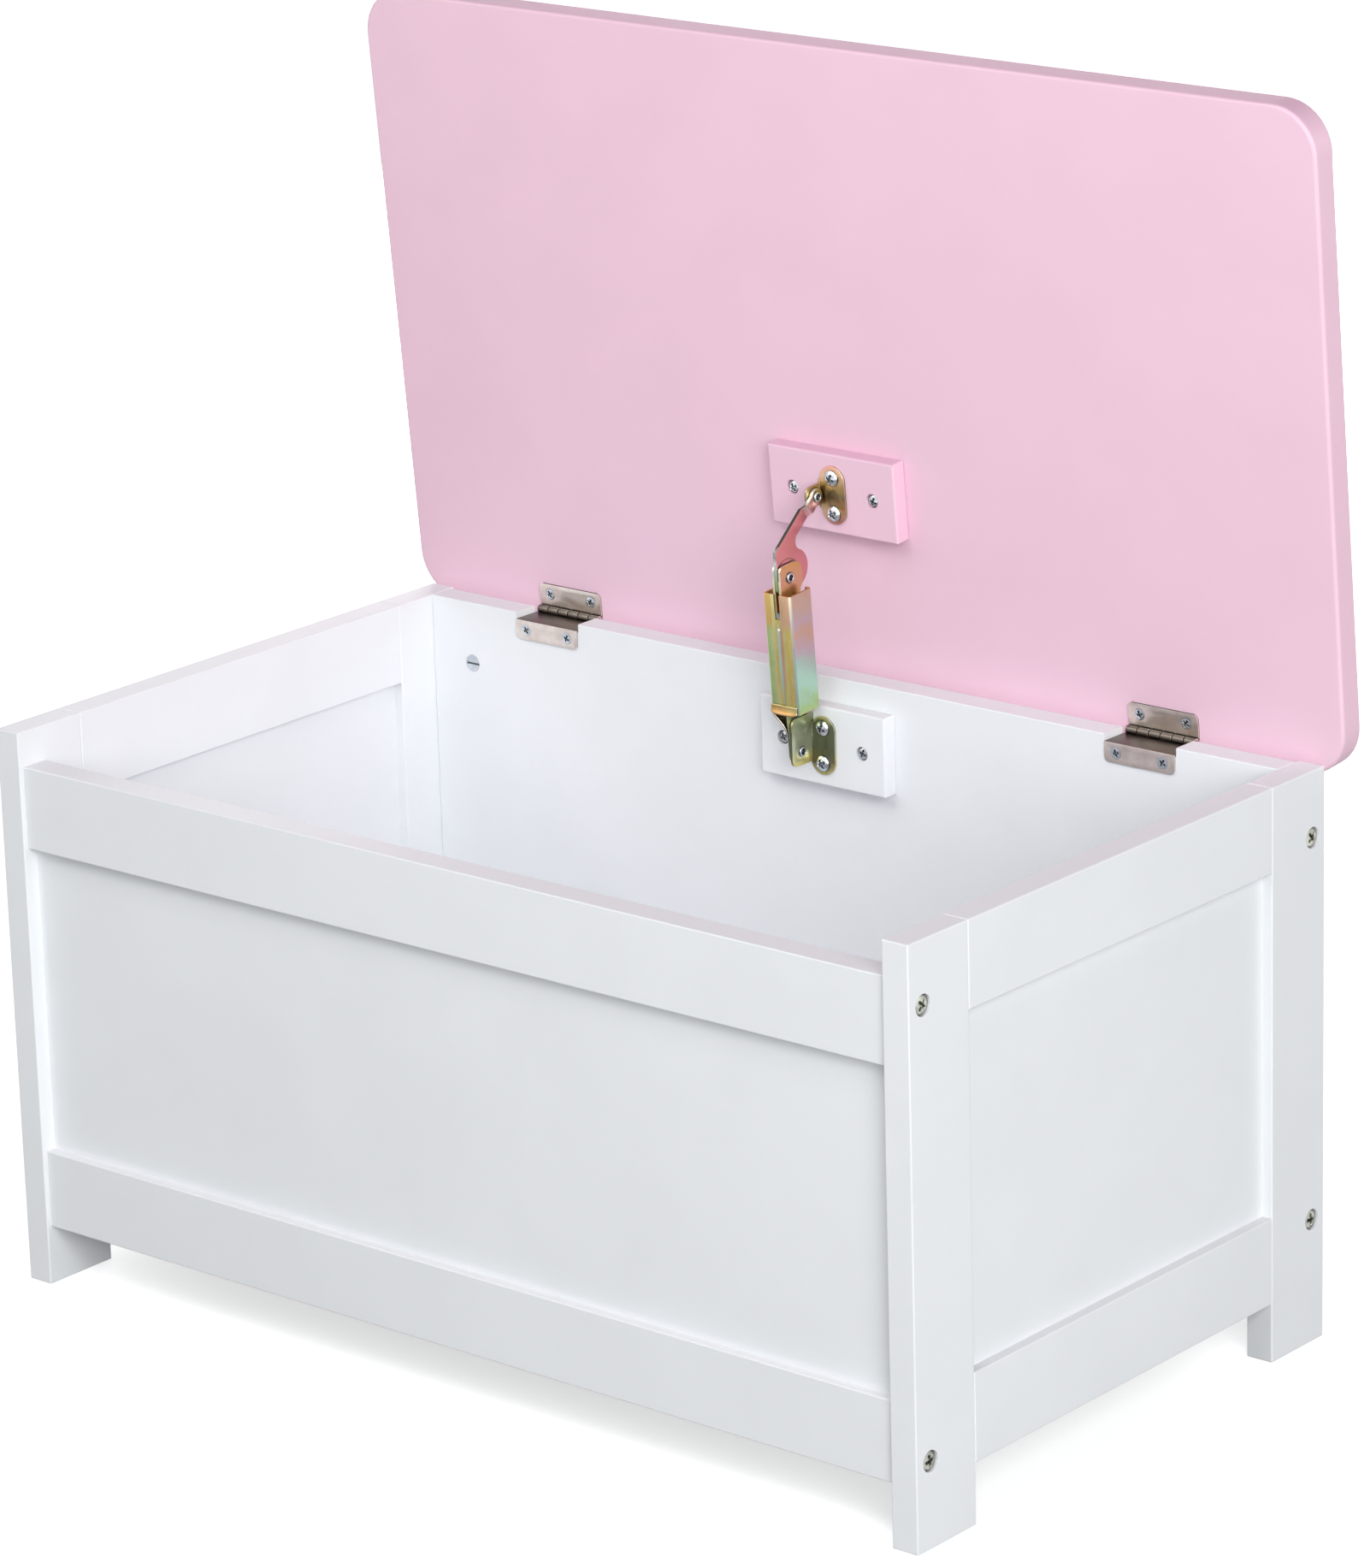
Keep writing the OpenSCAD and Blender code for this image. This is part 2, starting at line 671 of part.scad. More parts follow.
module bolt_bore() {
  start = inner_x - nut_reach - bolt_past_nut - cut_over;
  x_rod(start, inner_x - start + cut_over, bolt_d / 2 + fastener_gap);
}

// A barrel nut enters from the inside face, which lies at zero, on the side of +Y
module nut_bore() y_rod(-nut_len, nut_len + cut_over, nut_d / 2 + fastener_gap);

module barrel_nut() {
  slot = nut_d / 8;
  difference() {
    y_rod(-nut_len, nut_len, nut_d / 2);
    translate([0, -board_t / 2, 0]) x_rod(-nut_d, 2 * nut_d, bolt_d / 2 + fastener_gap);
    translate([-nut_d, -slot, -slot / 2]) cube([2 * nut_d, slot + cut_over, slot]);
  }
}

// Bolt along -X, its seat at zero
module side_bolt(len) {
  rotate([0, 0, 90]) difference() {
    domed_head(bolt_head_d / 2, bolt_head_h);
    cross_cut(bolt_head_d / 2, -bolt_head_h);
  }
  x_rod(-len, len, bolt_d / 2);
}

// Carcass

module left_front_post() color(white_paint) in_frame() mirror([1, 0, 0]) post(true);
module right_front_post() color(white_paint) in_frame() post(true);
module left_back_post() color(white_paint) in_frame() mirror([1, 0, 0]) post(false);
module right_back_post() color(white_paint) in_frame() post(false);

module side_top_rail() side_rail(side_panel_high, side_top_rail_h, false);
module side_bottom_rail() side_rail(foot_gap, side_bottom_rail_h, true);
module left_top_rail() color(white_paint) in_frame() mirror([1, 0, 0]) side_top_rail();
module right_top_rail() color(white_paint) in_frame() side_top_rail();
module left_bottom_rail() color(white_paint) in_frame() mirror([1, 0, 0]) side_bottom_rail();
module right_bottom_rail() color(white_paint) in_frame() side_bottom_rail();
module left_side_panel() color(white_paint) in_frame() mirror([1, 0, 0]) side_panel();
module right_side_panel() color(white_paint) in_frame() side_panel();

module front_top_rail()
  color(white_paint) in_frame()
    front_rail(front_panel_high, front_top_rail_h, front_dowel_z[1], front_bolt_z[1]);

module front_bottom_rail()
  color(white_paint) in_frame()
    front_rail(foot_gap, front_bottom_rail_h, front_dowel_z[0], front_bolt_z[0]);

module front_panel() color(white_paint) in_frame() {
  x = inner_x + face_insert;
  translate([-x, front_mid_y - panel_t / 2, front_panel_low - edge_insert])
    cube([2 * x, panel_t, front_panel_high - front_panel_low + 2 * edge_insert]);
}

module floor_panel() color(white_paint) in_frame() {
  x = inner_x + face_insert;
  y = front_rail_y + board_t - face_insert;
  translate([-x, y, floor_z]) cube([2 * x, back_in_y + face_insert - y, floor_t]);
}

module back_board() color(white_paint) difference() {
  in_frame() translate([-inner_x, back_in_y, foot_gap])
    eased_bar(2 * inner_x, board_t, body_h - foot_gap, board_edge_r);
  in_frame() floor_block();
  in_frame() both_sides() {
    for (z = back_dowel_z) translate([0, back_mid_y, z]) rail_dowel(fastener_gap);
    for (z = back_bolt_z) {
      translate([0, back_mid_y, z]) bolt_bore();
      translate([inner_x - nut_reach, back_in_y, z]) mirror([0, 1, 0]) nut_bore();
    }
    translate([hinge_x - hinge_w / 2 - hinge_notch_gap, back_in_y - cut_over, leaf_fold_z])
      cube([hinge_w + 2 * hinge_notch_gap, board_t + 2 * cut_over, body_h]);
  }
  on_back_board() {
    at_hinge_screws(box_leaf_screw_z) translate([0, -hinge_t, 0]) hinge_screw_hole();
    at_block_screws(body_h - box_block_drop) block_screw_hole();
  }
}

module side_bolts() color(zinc) in_frame() both_sides() {
  seat = body_w / 2 - counterbore_depth;
  len = seat - inner_x + nut_reach + bolt_past_nut;
  for (z = front_bolt_z) translate([seat, front_mid_y, z]) side_bolt(len);
  for (z = back_bolt_z) translate([seat, back_mid_y, z]) side_bolt(len);
}

module barrel_nuts() color(zinc) in_frame() both_sides() {
  x = inner_x - nut_reach;
  for (z = front_bolt_z) translate([x, front_rail_y + board_t, z]) barrel_nut();
  for (z = back_bolt_z) translate([x, back_in_y, z]) mirror([0, 1, 0]) barrel_nut();
}

module rail_dowels() color(beech) in_frame() both_sides() {
  for (z = front_dowel_z) translate([0, front_mid_y, z]) rail_dowel(0);
  for (z = back_dowel_z) translate([0, back_mid_y, z]) rail_dowel(0);
}

module frame_dowels() color(beech) in_frame() both_sides()
  for (z = frame_dowel_z, front = [true, false])
    translate([body_w / 2 - board_t / 2, 0, z]) frame_dowel(front, 0);

// Stay blocks and their screws, on a surface at zero

module block_screw_hole() {
  y_rod(-cut_over, block_recess_depth + cut_over, block_recess_d / 2);
  y_rod(0, block_recess_depth + block_screw_len + fastener_gap, block_screw_d / 2 + fastener_gap);
}

module bracket_screw_hole()
  y_rod(0, bracket_t + bracket_screw_len + fastener_gap, bracket_screw_d / 2 + fastener_gap);

module stay_block(mid_z, base_z) difference() {
  translate([-block_w / 2, -block_t, mid_z - block_h / 2]) eased_bar(block_w, block_t, block_h, block_edge_r);
  at_block_screws(mid_z) block_screw_hole();
  at_bracket_screws(base_z) bracket_screw_hole();
}

module block_screws(mid_z) at_block_screws(mid_z)
  translate([0, block_recess_depth, 0])
    pan_screw(block_screw_head_d / 2, block_screw_head_h, block_screw_d / 2, block_screw_len);

module bracket_screws(base_z) at_bracket_screws(base_z)
  pan_screw(bracket_screw_head_d / 2, bracket_screw_head_h, bracket_screw_d / 2, bracket_screw_len);

module box_stay_block() color(white_paint) on_back_board()
  stay_block(body_h - box_block_drop, box_base_z);
module box_block_screws() color(zinc) on_back_board() block_screws(body_h - box_block_drop);
module box_bracket_screws() color(zinc) on_back_board() bracket_screws(box_base_z);
module lid_stay_block() color(pink_paint) on_lid() stay_block(lid_block_reach, lid_pivot_reach);
module lid_block_screws() color(zinc) on_lid() block_screws(lid_block_reach);
module lid_bracket_screws() color(zinc) on_lid() bracket_screws(lid_pivot_reach);

// Stay brackets: an oval base plate with an ear across X, on a surface at zero

module base_plate(x) {
  rotate([90, 0, 0]) linear_extrude(bracket_t) {
    for (s = [-1, 1]) translate([base_shift, s * base_end]) circle(d = base_w, $fn = large_arc);
    translate([base_shift - base_w / 2, -base_end]) square([base_w, 2 * base_end]);
    translate([x, -base_end]) square([base_shift - x, 2 * base_end]);
  }
}

// Ear around a pivot at zero height, with its two outer corners rounded
module ear(x, out, past, up, down, hole_r) {
  reach = out + past + bracket_t;
  x_plate(x, bracket_t) difference() {
    intersection() {
      translate([-reach, -down]) rounded_rect(reach + 2 * ear_corner_r, up + down, ear_corner_r);
      translate([-reach, -down]) square([reach, up + down]);
    }
    translate([-out - bracket_t, 0]) circle(r = hole_r, $fn = small_arc);
  }
}

// The base plate's middle lies base_rise above the pivot
module stay_bracket(x, base_rise) difference() {
  union() {
    translate([0, 0, base_rise]) base_plate(x);
    children();
  }
  for (s = [-1, 1])
    translate([base_shift, -bracket_t - cut_over, base_rise + s * base_screw_pitch / 2])
      y_rod(0, bracket_t + 2 * cut_over, bracket_screw_d / 2 + fastener_gap);
}

module box_bracket() color(yellow_zinc) on_back_board()
  translate([0, -block_t, body_h - box_pivot_drop]) stay_bracket(box_ear_x, box_base_rise)
    ear(box_ear_x, box_pivot_out, box_ear_past, box_ear_up, box_ear_down, rivet_r + fastener_gap);

module lid_bracket() color(yellow_zinc) on_lid()
  translate([0, -block_t, lid_pivot_reach]) stay_bracket(lid_ear_x, 0)
    ear(lid_ear_x, lid_pivot_out, lid_ear_past, lid_ear_half, lid_ear_half, lid_rivet_r + running);

// Rivet along X between two outer faces, with a low domed head at each end
module rivet(x0, x1, r) {
  x_rod(x0, x1 - x0, r);
  translate([x1, 0, 0]) rotate([0, 0, 90]) domed_head(rivet_head_r, rivet_head_h);
  translate([x0, 0, 0]) rotate([0, 0, -90]) domed_head(rivet_head_r, rivet_head_h);
}

module box_rivet() color(zinc) in_frame() translate([0, box_pivot[0], box_pivot[1]])
  rivet(strap_x - side_gap, box_ear_x + bracket_t, rivet_r);

// Hinges

module leaf_plate(w, h) {
  // Rounded at the lower corners, square at the top
  intersection() {
    rounded_rect(w, h + 2 * leaf_corner_r, leaf_corner_r);
    square([w, h]);
  }
}

// Knuckles of one leaf: first is 0 or 1
module knuckles(first) difference() {
  for (n = [first : 2 : hinge_knuckles - 1])
    x_rod(n * knuckle_len + knuckle_gap - hinge_w / 2, knuckle_len - 2 * knuckle_gap, barrel_r);
  x_rod(-hinge_w, 2 * hinge_w, hinge_pin_r + running);
}

// Space that the other leaf's knuckles turn in
module knuckle_room(first)
  for (n = [first : 2 : hinge_knuckles - 1])
    x_rod(n * knuckle_len - hinge_w / 2 - knuckle_gap, knuckle_len + 2 * knuckle_gap, barrel_r + side_gap);

// Leaf folded over the back board's top edge, zero on the pin
module box_leaf() {
  inner_y = back_in_y - axis_y;
  flat_z = -barrel_r;
  knuckles(1);
  difference() {
    union() {
      translate([-hinge_w / 2, inner_y - hinge_t, flat_z]) cube([hinge_w, hinge_t - inner_y, hinge_t]);
      translate([-hinge_w / 2, inner_y, flat_z - box_leaf_drop]) rotate([90, 0, 0])
        linear_extrude(hinge_t) leaf_plate(hinge_w, box_leaf_drop + hinge_t);
    }
    knuckle_room(0);
    x_rod(-hinge_w, 2 * hinge_w, hinge_pin_r + running);
    for (e = [-1, 1])
      translate([e * leaf_screw_pitch / 2, inner_y - hinge_t, box_leaf_screw_z - axis_z]) hinge_screw_hole();
  }
}

module left_box_leaf() color(nickel) in_frame() translate([-hinge_x, axis_y, axis_z]) box_leaf();
module right_box_leaf() color(nickel) in_frame() translate([hinge_x, axis_y, axis_z]) box_leaf();

// Leaf on the lid's underside, in the lid's frame, closed
module lid_leaf() {
  knuckles(0);
  difference() {
    translate([-hinge_w / 2, -lid_leaf_reach, under_off - hinge_t])
      linear_extrude(hinge_t) leaf_plate(hinge_w, lid_leaf_reach);
    knuckle_room(1);
    x_rod(-hinge_w, 2 * hinge_w, hinge_pin_r + running);
    translate([0, 0, under_off]) rotate([90, 0, 0]) for (e = [-1, 1])
      translate([e * leaf_screw_pitch / 2, -hinge_t, lid_leaf_screw_z]) hinge_screw_hole();
  }
}

module left_lid_leaf() color(nickel) in_lid_frame() translate([-hinge_x, 0, 0]) lid_leaf();
module right_lid_leaf() color(nickel) in_lid_frame() translate([hinge_x, 0, 0]) lid_leaf();

module hinge_pins() color(nickel) in_frame() both_sides()
  translate([hinge_x, axis_y, axis_z]) x_rod(-hinge_w / 2, hinge_w, hinge_pin_r);

module box_hinge_screws() color(zinc) on_back_board() at_hinge_screws(box_leaf_screw_z)
  translate([0, -hinge_t, 0]) flat_screw(hinge_screw_head_d / 2, hinge_screw_d / 2, hinge_screw_len);

module lid_hinge_screws() color(zinc) on_lid() at_hinge_screws(lid_leaf_screw_z)
  translate([0, -hinge_t, 0]) flat_screw(hinge_screw_head_d / 2, hinge_screw_d / 2, hinge_screw_len);

// Lid

module lid() color(pink_paint) difference() {
  in_lid_frame() translate([-lid_w / 2, lid_back - lid_d, under_off])
    eased_board(lid_w, lid_d, lid_t, lid_corner_r, lid_edge_r);
  on_lid() {
    at_hinge_screws(lid_leaf_screw_z) translate([0, -hinge_t, 0]) hinge_screw_hole();
    at_block_screws(lid_block_reach) block_screw_hole();
  }
}

// Stay, in the housing's frame

// Section of the housing: a square tube with bent corners and a gap between two lips
module housing_section() difference() {
  rounded_rect(housing_w, housing_w, bend_r + housing_t);
  translate([housing_t, housing_t]) rounded_rect(inner_w, inner_w, bend_r);
  translate([housing_lip, housing_w / 2]) square([housing_w - 2 * housing_lip, housing_w]);
}

module stay_housing() color(yellow_zinc) in_housing_frame() {
  difference() {
    translate([housing_x, housing_front, housing_start]) linear_extrude(housing_len) housing_section();
    translate([stay_x - slot_w / 2, housing_front - cut_over, housing_end - slot_len])
      cube([slot_w, housing_t + 2 * cut_over, slot_len + cut_over]);
  }
  housing_rib();
  housing_flare();
}

// Pressed rib down the front, half sunk in the sheet
module housing_rib() {
  low = housing_start + rib_margin;
  high = housing_end - slot_len - rib_margin;
  sink = rib_r - housing_t / 2;
  intersection() {
    translate([stay_x, housing_front + sink, 0]) {
      translate([0, 0, low]) cylinder(r = rib_r, h = high - low, $fn = small_arc);
      for (z = [low, high]) translate([0, 0, z]) sphere(r = rib_r, $fn = small_arc);
    }
    translate([housing_x, housing_front - rib_r, 0])
      cube([housing_w, rib_r + housing_t / 2, housing_end]);
  }
}

// Lip flared forward at the foot of the front wall
module housing_flare() {
  wall = housing_front + housing_t;
  side = bend_r + housing_t;
  x_plate(housing_x + side, housing_w - 2 * side)
    polygon([[wall, housing_start], [wall, housing_start + lip_drop],
      [housing_front, housing_start + lip_drop], [housing_front - lip_flare, housing_start - lip_drop / 2],
      [housing_front - lip_flare + housing_t, housing_start - lip_drop]]);
}

// Square plate that fills the housing's section
module inner_plate(z, thick)
  translate([housing_x + housing_t, clevis_low, z])
    linear_extrude(thick) rounded_rect(inner_w, inner_w, inner_corner_r);

module stay_strap() color(yellow_zinc) in_housing_frame() {
  difference() {
    union() {
      x_plate(strap_x, strap_t) {
        circle(r = strap_eye_r, $fn = large_arc);
        translate([-strap_eye_r, 0]) square([2 * strap_eye_r, shoulder_z]);
        translate([-strap_w / 2, 0]) square([strap_w, clevis_base_z - strap_gap]);
      }
      inner_plate(shoulder_z, shoulder_h);
    }
    x_rod(strap_x - cut_over, strap_t + 2 * cut_over, rivet_r + running);
  }
}

module stay_spring() color(dark_steel) in_housing_frame()
  translate([strap_x + strap_t / 2, 0, shoulder_z + shoulder_h]) difference() {
    len = clevis_base_z - shoulder_z - shoulder_h;
    cylinder(r = spring_r, h = len, $fn = large_arc);
    translate([0, 0, -cut_over])
      cylinder(r = spring_r - spring_wire, h = len + 2 * cut_over, $fn = large_arc);
  }

// Ear of the clevis: a neck in the housing and a wider head round the middle pivot
module clevis_ear() {
  high = mid_pivot_up + clevis_over;
  wide = clevis_front + clevis_back;
  translate([clevis_low, clevis_base_z]) square([inner_w, mid_pivot_up - clevis_base_z]);
  intersection() {
    translate([-clevis_front, mid_pivot_up - clevis_over])
      rounded_rect(wide, 2 * clevis_over, clevis_corner_r);
    translate([-clevis_front - wide, high - 2 * wide])
      rounded_rect(2 * wide, 2 * wide, clevis_round_r);
  }
}

module stay_clevis() color(rose_zinc) in_housing_frame() {
  inner_plate(clevis_base_z, clevis_t);
  for (x = [ear_x, far_ear_x]) x_plate(x, clevis_t) difference() {
    clevis_ear();
    translate([0, mid_pivot_up]) circle(r = rivet_r + fastener_gap, $fn = small_arc);
  }
}

module brake_pad() color(pad_grey) in_housing_frame()
  translate([far_ear_x + clevis_t, clevis_low, pad_z])
    cube([ear_x - far_ear_x - clevis_t, inner_w, pad_top - pad_z]);

module middle_rivet() color(zinc) in_housing_frame()
  translate([0, 0, mid_pivot_up]) rivet(far_ear_x, ear_x + clevis_t, rivet_r);

// Stay arm, in its own frame

module arm_outline() {
  translate(cam_mid) circle(r = cam_r, $fn = large_arc);
  translate(arm_eye) circle(r = eye_r, $fn = large_arc);
  translate([toe_r - arm_front, cam_low + toe_r]) circle(r = toe_r, $fn = small_arc);
  polygon([[toe_r - arm_front, cam_low], [cam_back, cam_low], cam_mid, [toe_r - arm_front, cam_up]]);
  difference() {
    polygon([[-arm_front, cam_low + toe_r], arm_corner, bar_front, bar_back,
      fillet_end, fillet_mid, cam_mid, [toe_r - arm_front, cam_low + toe_r]]);
    translate(fillet_mid) circle(r = arm_fillet_r, $fn = large_arc);
  }
}

// Zone across the bar, between two distances from the middle of the eye
module along_bar(near, far)
  translate(arm_eye) rotate(-arm_bend) translate([-body_h / 2, -far]) square([body_h, far - near]);

module stay_arm() color(rose_zinc) in_arm_frame() {
  step_end = joggle_from_eye + joggle_len;
  difference() {
    union() {
      x_plate(arm_x, arm_t) intersection() {
        arm_outline();
        along_bar(step_end, body_h);
      }
      x_plate(arm_x + joggle, arm_t) intersection() {
        arm_outline();
        along_bar(-body_h, joggle_from_eye);
      }
      arm_step();
    }
    x_rod(arm_x - cut_over, arm_t + 2 * cut_over, rivet_r + open_pivot_gap);
    translate([0, arm_eye[0], arm_eye[1]])
      x_rod(arm_x, joggle + arm_t + cut_over, lid_rivet_r + fastener_gap);
  }
}

// Slanted step between the arm's two planes, let into the end of each
module arm_step() {
  low = arm_x + step_inset;
  high = arm_x + arm_t - step_inset;
  foot = -joggle_len - step_inset;
  translate([0, arm_eye[0], arm_eye[1]]) rotate([-arm_bend, 0, 0])
    translate([0, arm_w / 2 - step_inset, -joggle_from_eye]) rotate([90, 0, 0])
      linear_extrude(arm_w - 2 * step_inset) polygon([[low, foot], [high, foot], [high, -joggle_len],
        [high + joggle, 0], [high + joggle, step_inset], [low + joggle, step_inset],
        [low + joggle, 0], [low, -joggle_len]]);
}

module lid_rivet() color(zinc) in_arm_frame() translate([0, arm_eye[0], arm_eye[1]])
  rivet(lid_ear_x - side_gap, arm_x + joggle + arm_t, lid_rivet_r);

left_front_post();
right_front_post();
left_back_post();
right_back_post();
left_top_rail();
right_top_rail();
left_bottom_rail();
right_bottom_rail();
left_side_panel();
right_side_panel();
front_top_rail();
front_bottom_rail();
front_panel();
back_board();
floor_panel();
side_bolts();
barrel_nuts();
rail_dowels();
frame_dowels();
box_stay_block();
box_block_screws();
left_box_leaf();
right_box_leaf();
hinge_pins();
box_hinge_screws();
box_bracket();
box_bracket_screws();
box_rivet();
lid();
lid_stay_block();
lid_block_screws();
left_lid_leaf();
right_lid_leaf();
lid_hinge_screws();
lid_bracket();
lid_bracket_screws();
stay_housing();
stay_strap();
stay_spring();
stay_clevis();
brake_pad();
middle_rivet();
stay_arm();
lid_rivet();
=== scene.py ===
import bpy
import bmesh
from math import cos, hypot, pi, radians, sin
from mathutils import Matrix, Vector


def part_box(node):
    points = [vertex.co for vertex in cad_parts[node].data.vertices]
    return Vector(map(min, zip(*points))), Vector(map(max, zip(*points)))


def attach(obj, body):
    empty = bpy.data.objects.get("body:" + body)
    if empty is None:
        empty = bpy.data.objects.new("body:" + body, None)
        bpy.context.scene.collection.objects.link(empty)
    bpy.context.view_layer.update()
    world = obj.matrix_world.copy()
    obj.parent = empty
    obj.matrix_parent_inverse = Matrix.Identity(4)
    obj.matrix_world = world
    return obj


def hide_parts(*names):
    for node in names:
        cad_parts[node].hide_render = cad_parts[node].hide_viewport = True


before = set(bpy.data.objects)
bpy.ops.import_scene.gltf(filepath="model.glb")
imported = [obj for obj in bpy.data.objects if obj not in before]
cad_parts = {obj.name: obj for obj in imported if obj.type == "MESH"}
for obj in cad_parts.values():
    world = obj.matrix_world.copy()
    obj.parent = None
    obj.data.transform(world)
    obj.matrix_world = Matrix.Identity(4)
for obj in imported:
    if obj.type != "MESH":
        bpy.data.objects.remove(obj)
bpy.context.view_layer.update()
print("frame loaded:", len(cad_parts), "nodes")


def toLinear(hexColour):
    # sRGB hex to the linear colour that the shaders take
    channels = [int(hexColour[i:i + 2], 16) / 255 for i in (1, 3, 5)]
    return tuple(c / 12.92 if c <= 0.04045 else ((c + 0.055) / 1.055) ** 2.4 for c in channels) + (1.0,)


def addNode(owner, kind, settings=None, links=None):
    # settings: a node's own values, its sockets' values and a ramp's stops; links: socket to source
    node = owner.node_tree.nodes.new(kind)
    for name, value in (settings or {}).items():
        if name == "stops":
            ramp = node.color_ramp
            while len(ramp.elements) < len(value):
                ramp.elements.new(0.5)
            for element, (place, colour) in zip(ramp.elements, value):
                element.position = place
                element.color = colour
        elif isinstance(name, int) or name in node.inputs:
            node.inputs[name].default_value = value
        else:
            setattr(node, name, value)
    for name, source in (links or {}).items():
        owner.node_tree.links.new(source, node.inputs[name])
    return node


def newMaterial(name):
    material = bpy.data.materials.new(name)
    material.use_nodes = True
    material.node_tree.nodes.clear()
    return material


def perMetre(millimetres):
    # texture scale that repeats a feature once in so many millimetres
    return 1000 / millimetres


def layHues(material, hue, layers):
    # other hues laid over the first one, each where its share is 1
    for share, overHex in layers:
        hue = addNode(material, "ShaderNodeMix", {"data_type": "RGBA", 7: toLinear(overHex)},
                      {0: share, 6: hue}).outputs[2]
    return hue


def lookingUp(material, where, start, full):
    # 1 on faces that look up and 0 on upright ones; start and full: how far up they look, from 0 to 1
    facing = addNode(material, "ShaderNodeSeparateXYZ", None, {"Vector": where.outputs["Normal"]})
    return addNode(material, "ShaderNodeMapRange", {"From Min": start, "From Max": full},
                   {"Value": facing.outputs["Z"]}).outputs["Result"]


def lookingSideways(material, where):
    # how far faces look left or right, from 0 to 1
    facing = addNode(material, "ShaderNodeSeparateXYZ", None, {"Vector": where.outputs["Normal"]})
    return addNode(material, "ShaderNodeMath", {"operation": "ABSOLUTE"},
                   {0: facing.outputs["X"]}).outputs["Value"]


# Painted fibreboard
lacquer = {
    "whiteHex": "#eff2f5",
    "pinkHex": "#f2cddf",
    "whiteEdgeSoakAndShadeHex": "#dddde1",   # faces that look up, mostly the cut edges of the boards: darker where they soak up the paint, and darker still with painted shade
    "pinkEdgeSoakAndShadeHex": "#d5adc2",
    "edgeSoakAndShadeTurn": (0.3, 0.9),  # how far up a face looks where the darker hue of soaked edges and painted shade begins, and where it is full
    "cloudSize": 70,         # mm, where the sprayed coat is a little thicker or thinner
    "cloudStops": (0.35, 0.62),  # of the noise, for the thin coat and the full one
    "thinShade": 0.975,      # of the paint's own colour, where the coat is thin
    "orangePeelSize": 1.6,   # mm, drawn a little coarser than the real 1 mm so that it shows
    "orangePeelHeight": 0.00002,
    "orangePeelStrength": 0.35,
    "roughness": (0.54, 0.63),   # where the coat is thin and where it is full
    "specular": 0.35,        # flatting agent in the lacquer keeps it from shining at low angles
    "ior": 1.5,
}


def sprayedLacquer(name, paintHex, soakAndShadeHex=None):
    # acrylic lacquer, sprayed on sanded fibreboard: an even eggshell sheen with a faint orange peel
    # the third argument: the hue of faces that look up, for cut edges that soak up the paint and for painted
    # shade
    material = newMaterial(name)
    where = addNode(material, "ShaderNodeTexCoord")
    clouds = addNode(material, "ShaderNodeTexNoise",
                     {"Scale": perMetre(lacquer["cloudSize"]), "Detail": 3.0, "Roughness": 0.5},
                     {"Vector": where.outputs["Object"]})
    paint = toLinear(paintHex)
    thin = tuple(c * lacquer["thinShade"] for c in paint[:3]) + (1.0,)
    colour = addNode(material, "ShaderNodeValToRGB",
                     {"stops": list(zip(lacquer["cloudStops"], (thin, paint)))},
                     {"Fac": clouds.outputs["Fac"]})
    hue = colour.outputs["Color"]
    # faces that look up take a darker hue: soaked cut edges and painted shade
    if soakAndShadeHex:
        hue = layHues(material, hue, [(lookingUp(material, where, *lacquer["edgeSoakAndShadeTurn"]), soakAndShadeHex)])
    sheen = addNode(material, "ShaderNodeMapRange",
                    {"To Min": lacquer["roughness"][0], "To Max": lacquer["roughness"][1]},
                    {"Value": clouds.outputs["Fac"]})
    peel = addNode(material, "ShaderNodeTexNoise",
                   {"Scale": perMetre(lacquer["orangePeelSize"]), "Detail": 1.5, "Roughness": 0.45},
                   {"Vector": where.outputs["Object"]})
    bump = addNode(material, "ShaderNodeBump",
                   {"Strength": lacquer["orangePeelStrength"], "Distance": lacquer["orangePeelHeight"]},
                   {"Height": peel.outputs["Fac"]})
    shader = addNode(material, "ShaderNodeBsdfPrincipled",
                     {"IOR": lacquer["ior"], "Specular IOR Level": lacquer["specular"]},
                     {"Base Color": hue, "Roughness": sheen.outputs["Result"],
                      "Normal": bump.outputs["Normal"]})
    addNode(material, "ShaderNodeOutputMaterial", None, {"Surface": shader.outputs["BSDF"]})
    return material


# Knuckles of the hinges, drawn apart a little so that their gaps show
knuckles = {
    "axis": (164.807, 312.6),   # mm, Y and Z of the pin
    "reach": 2.6,            # mm from the pin's middle
    "pitch": 7.5,            # mm from one knuckle to the next
    "near": 0.3,             # mm from a knuckle's end within which its corners are drawn
    "draw": 0.25,            # mm taken off each end
}

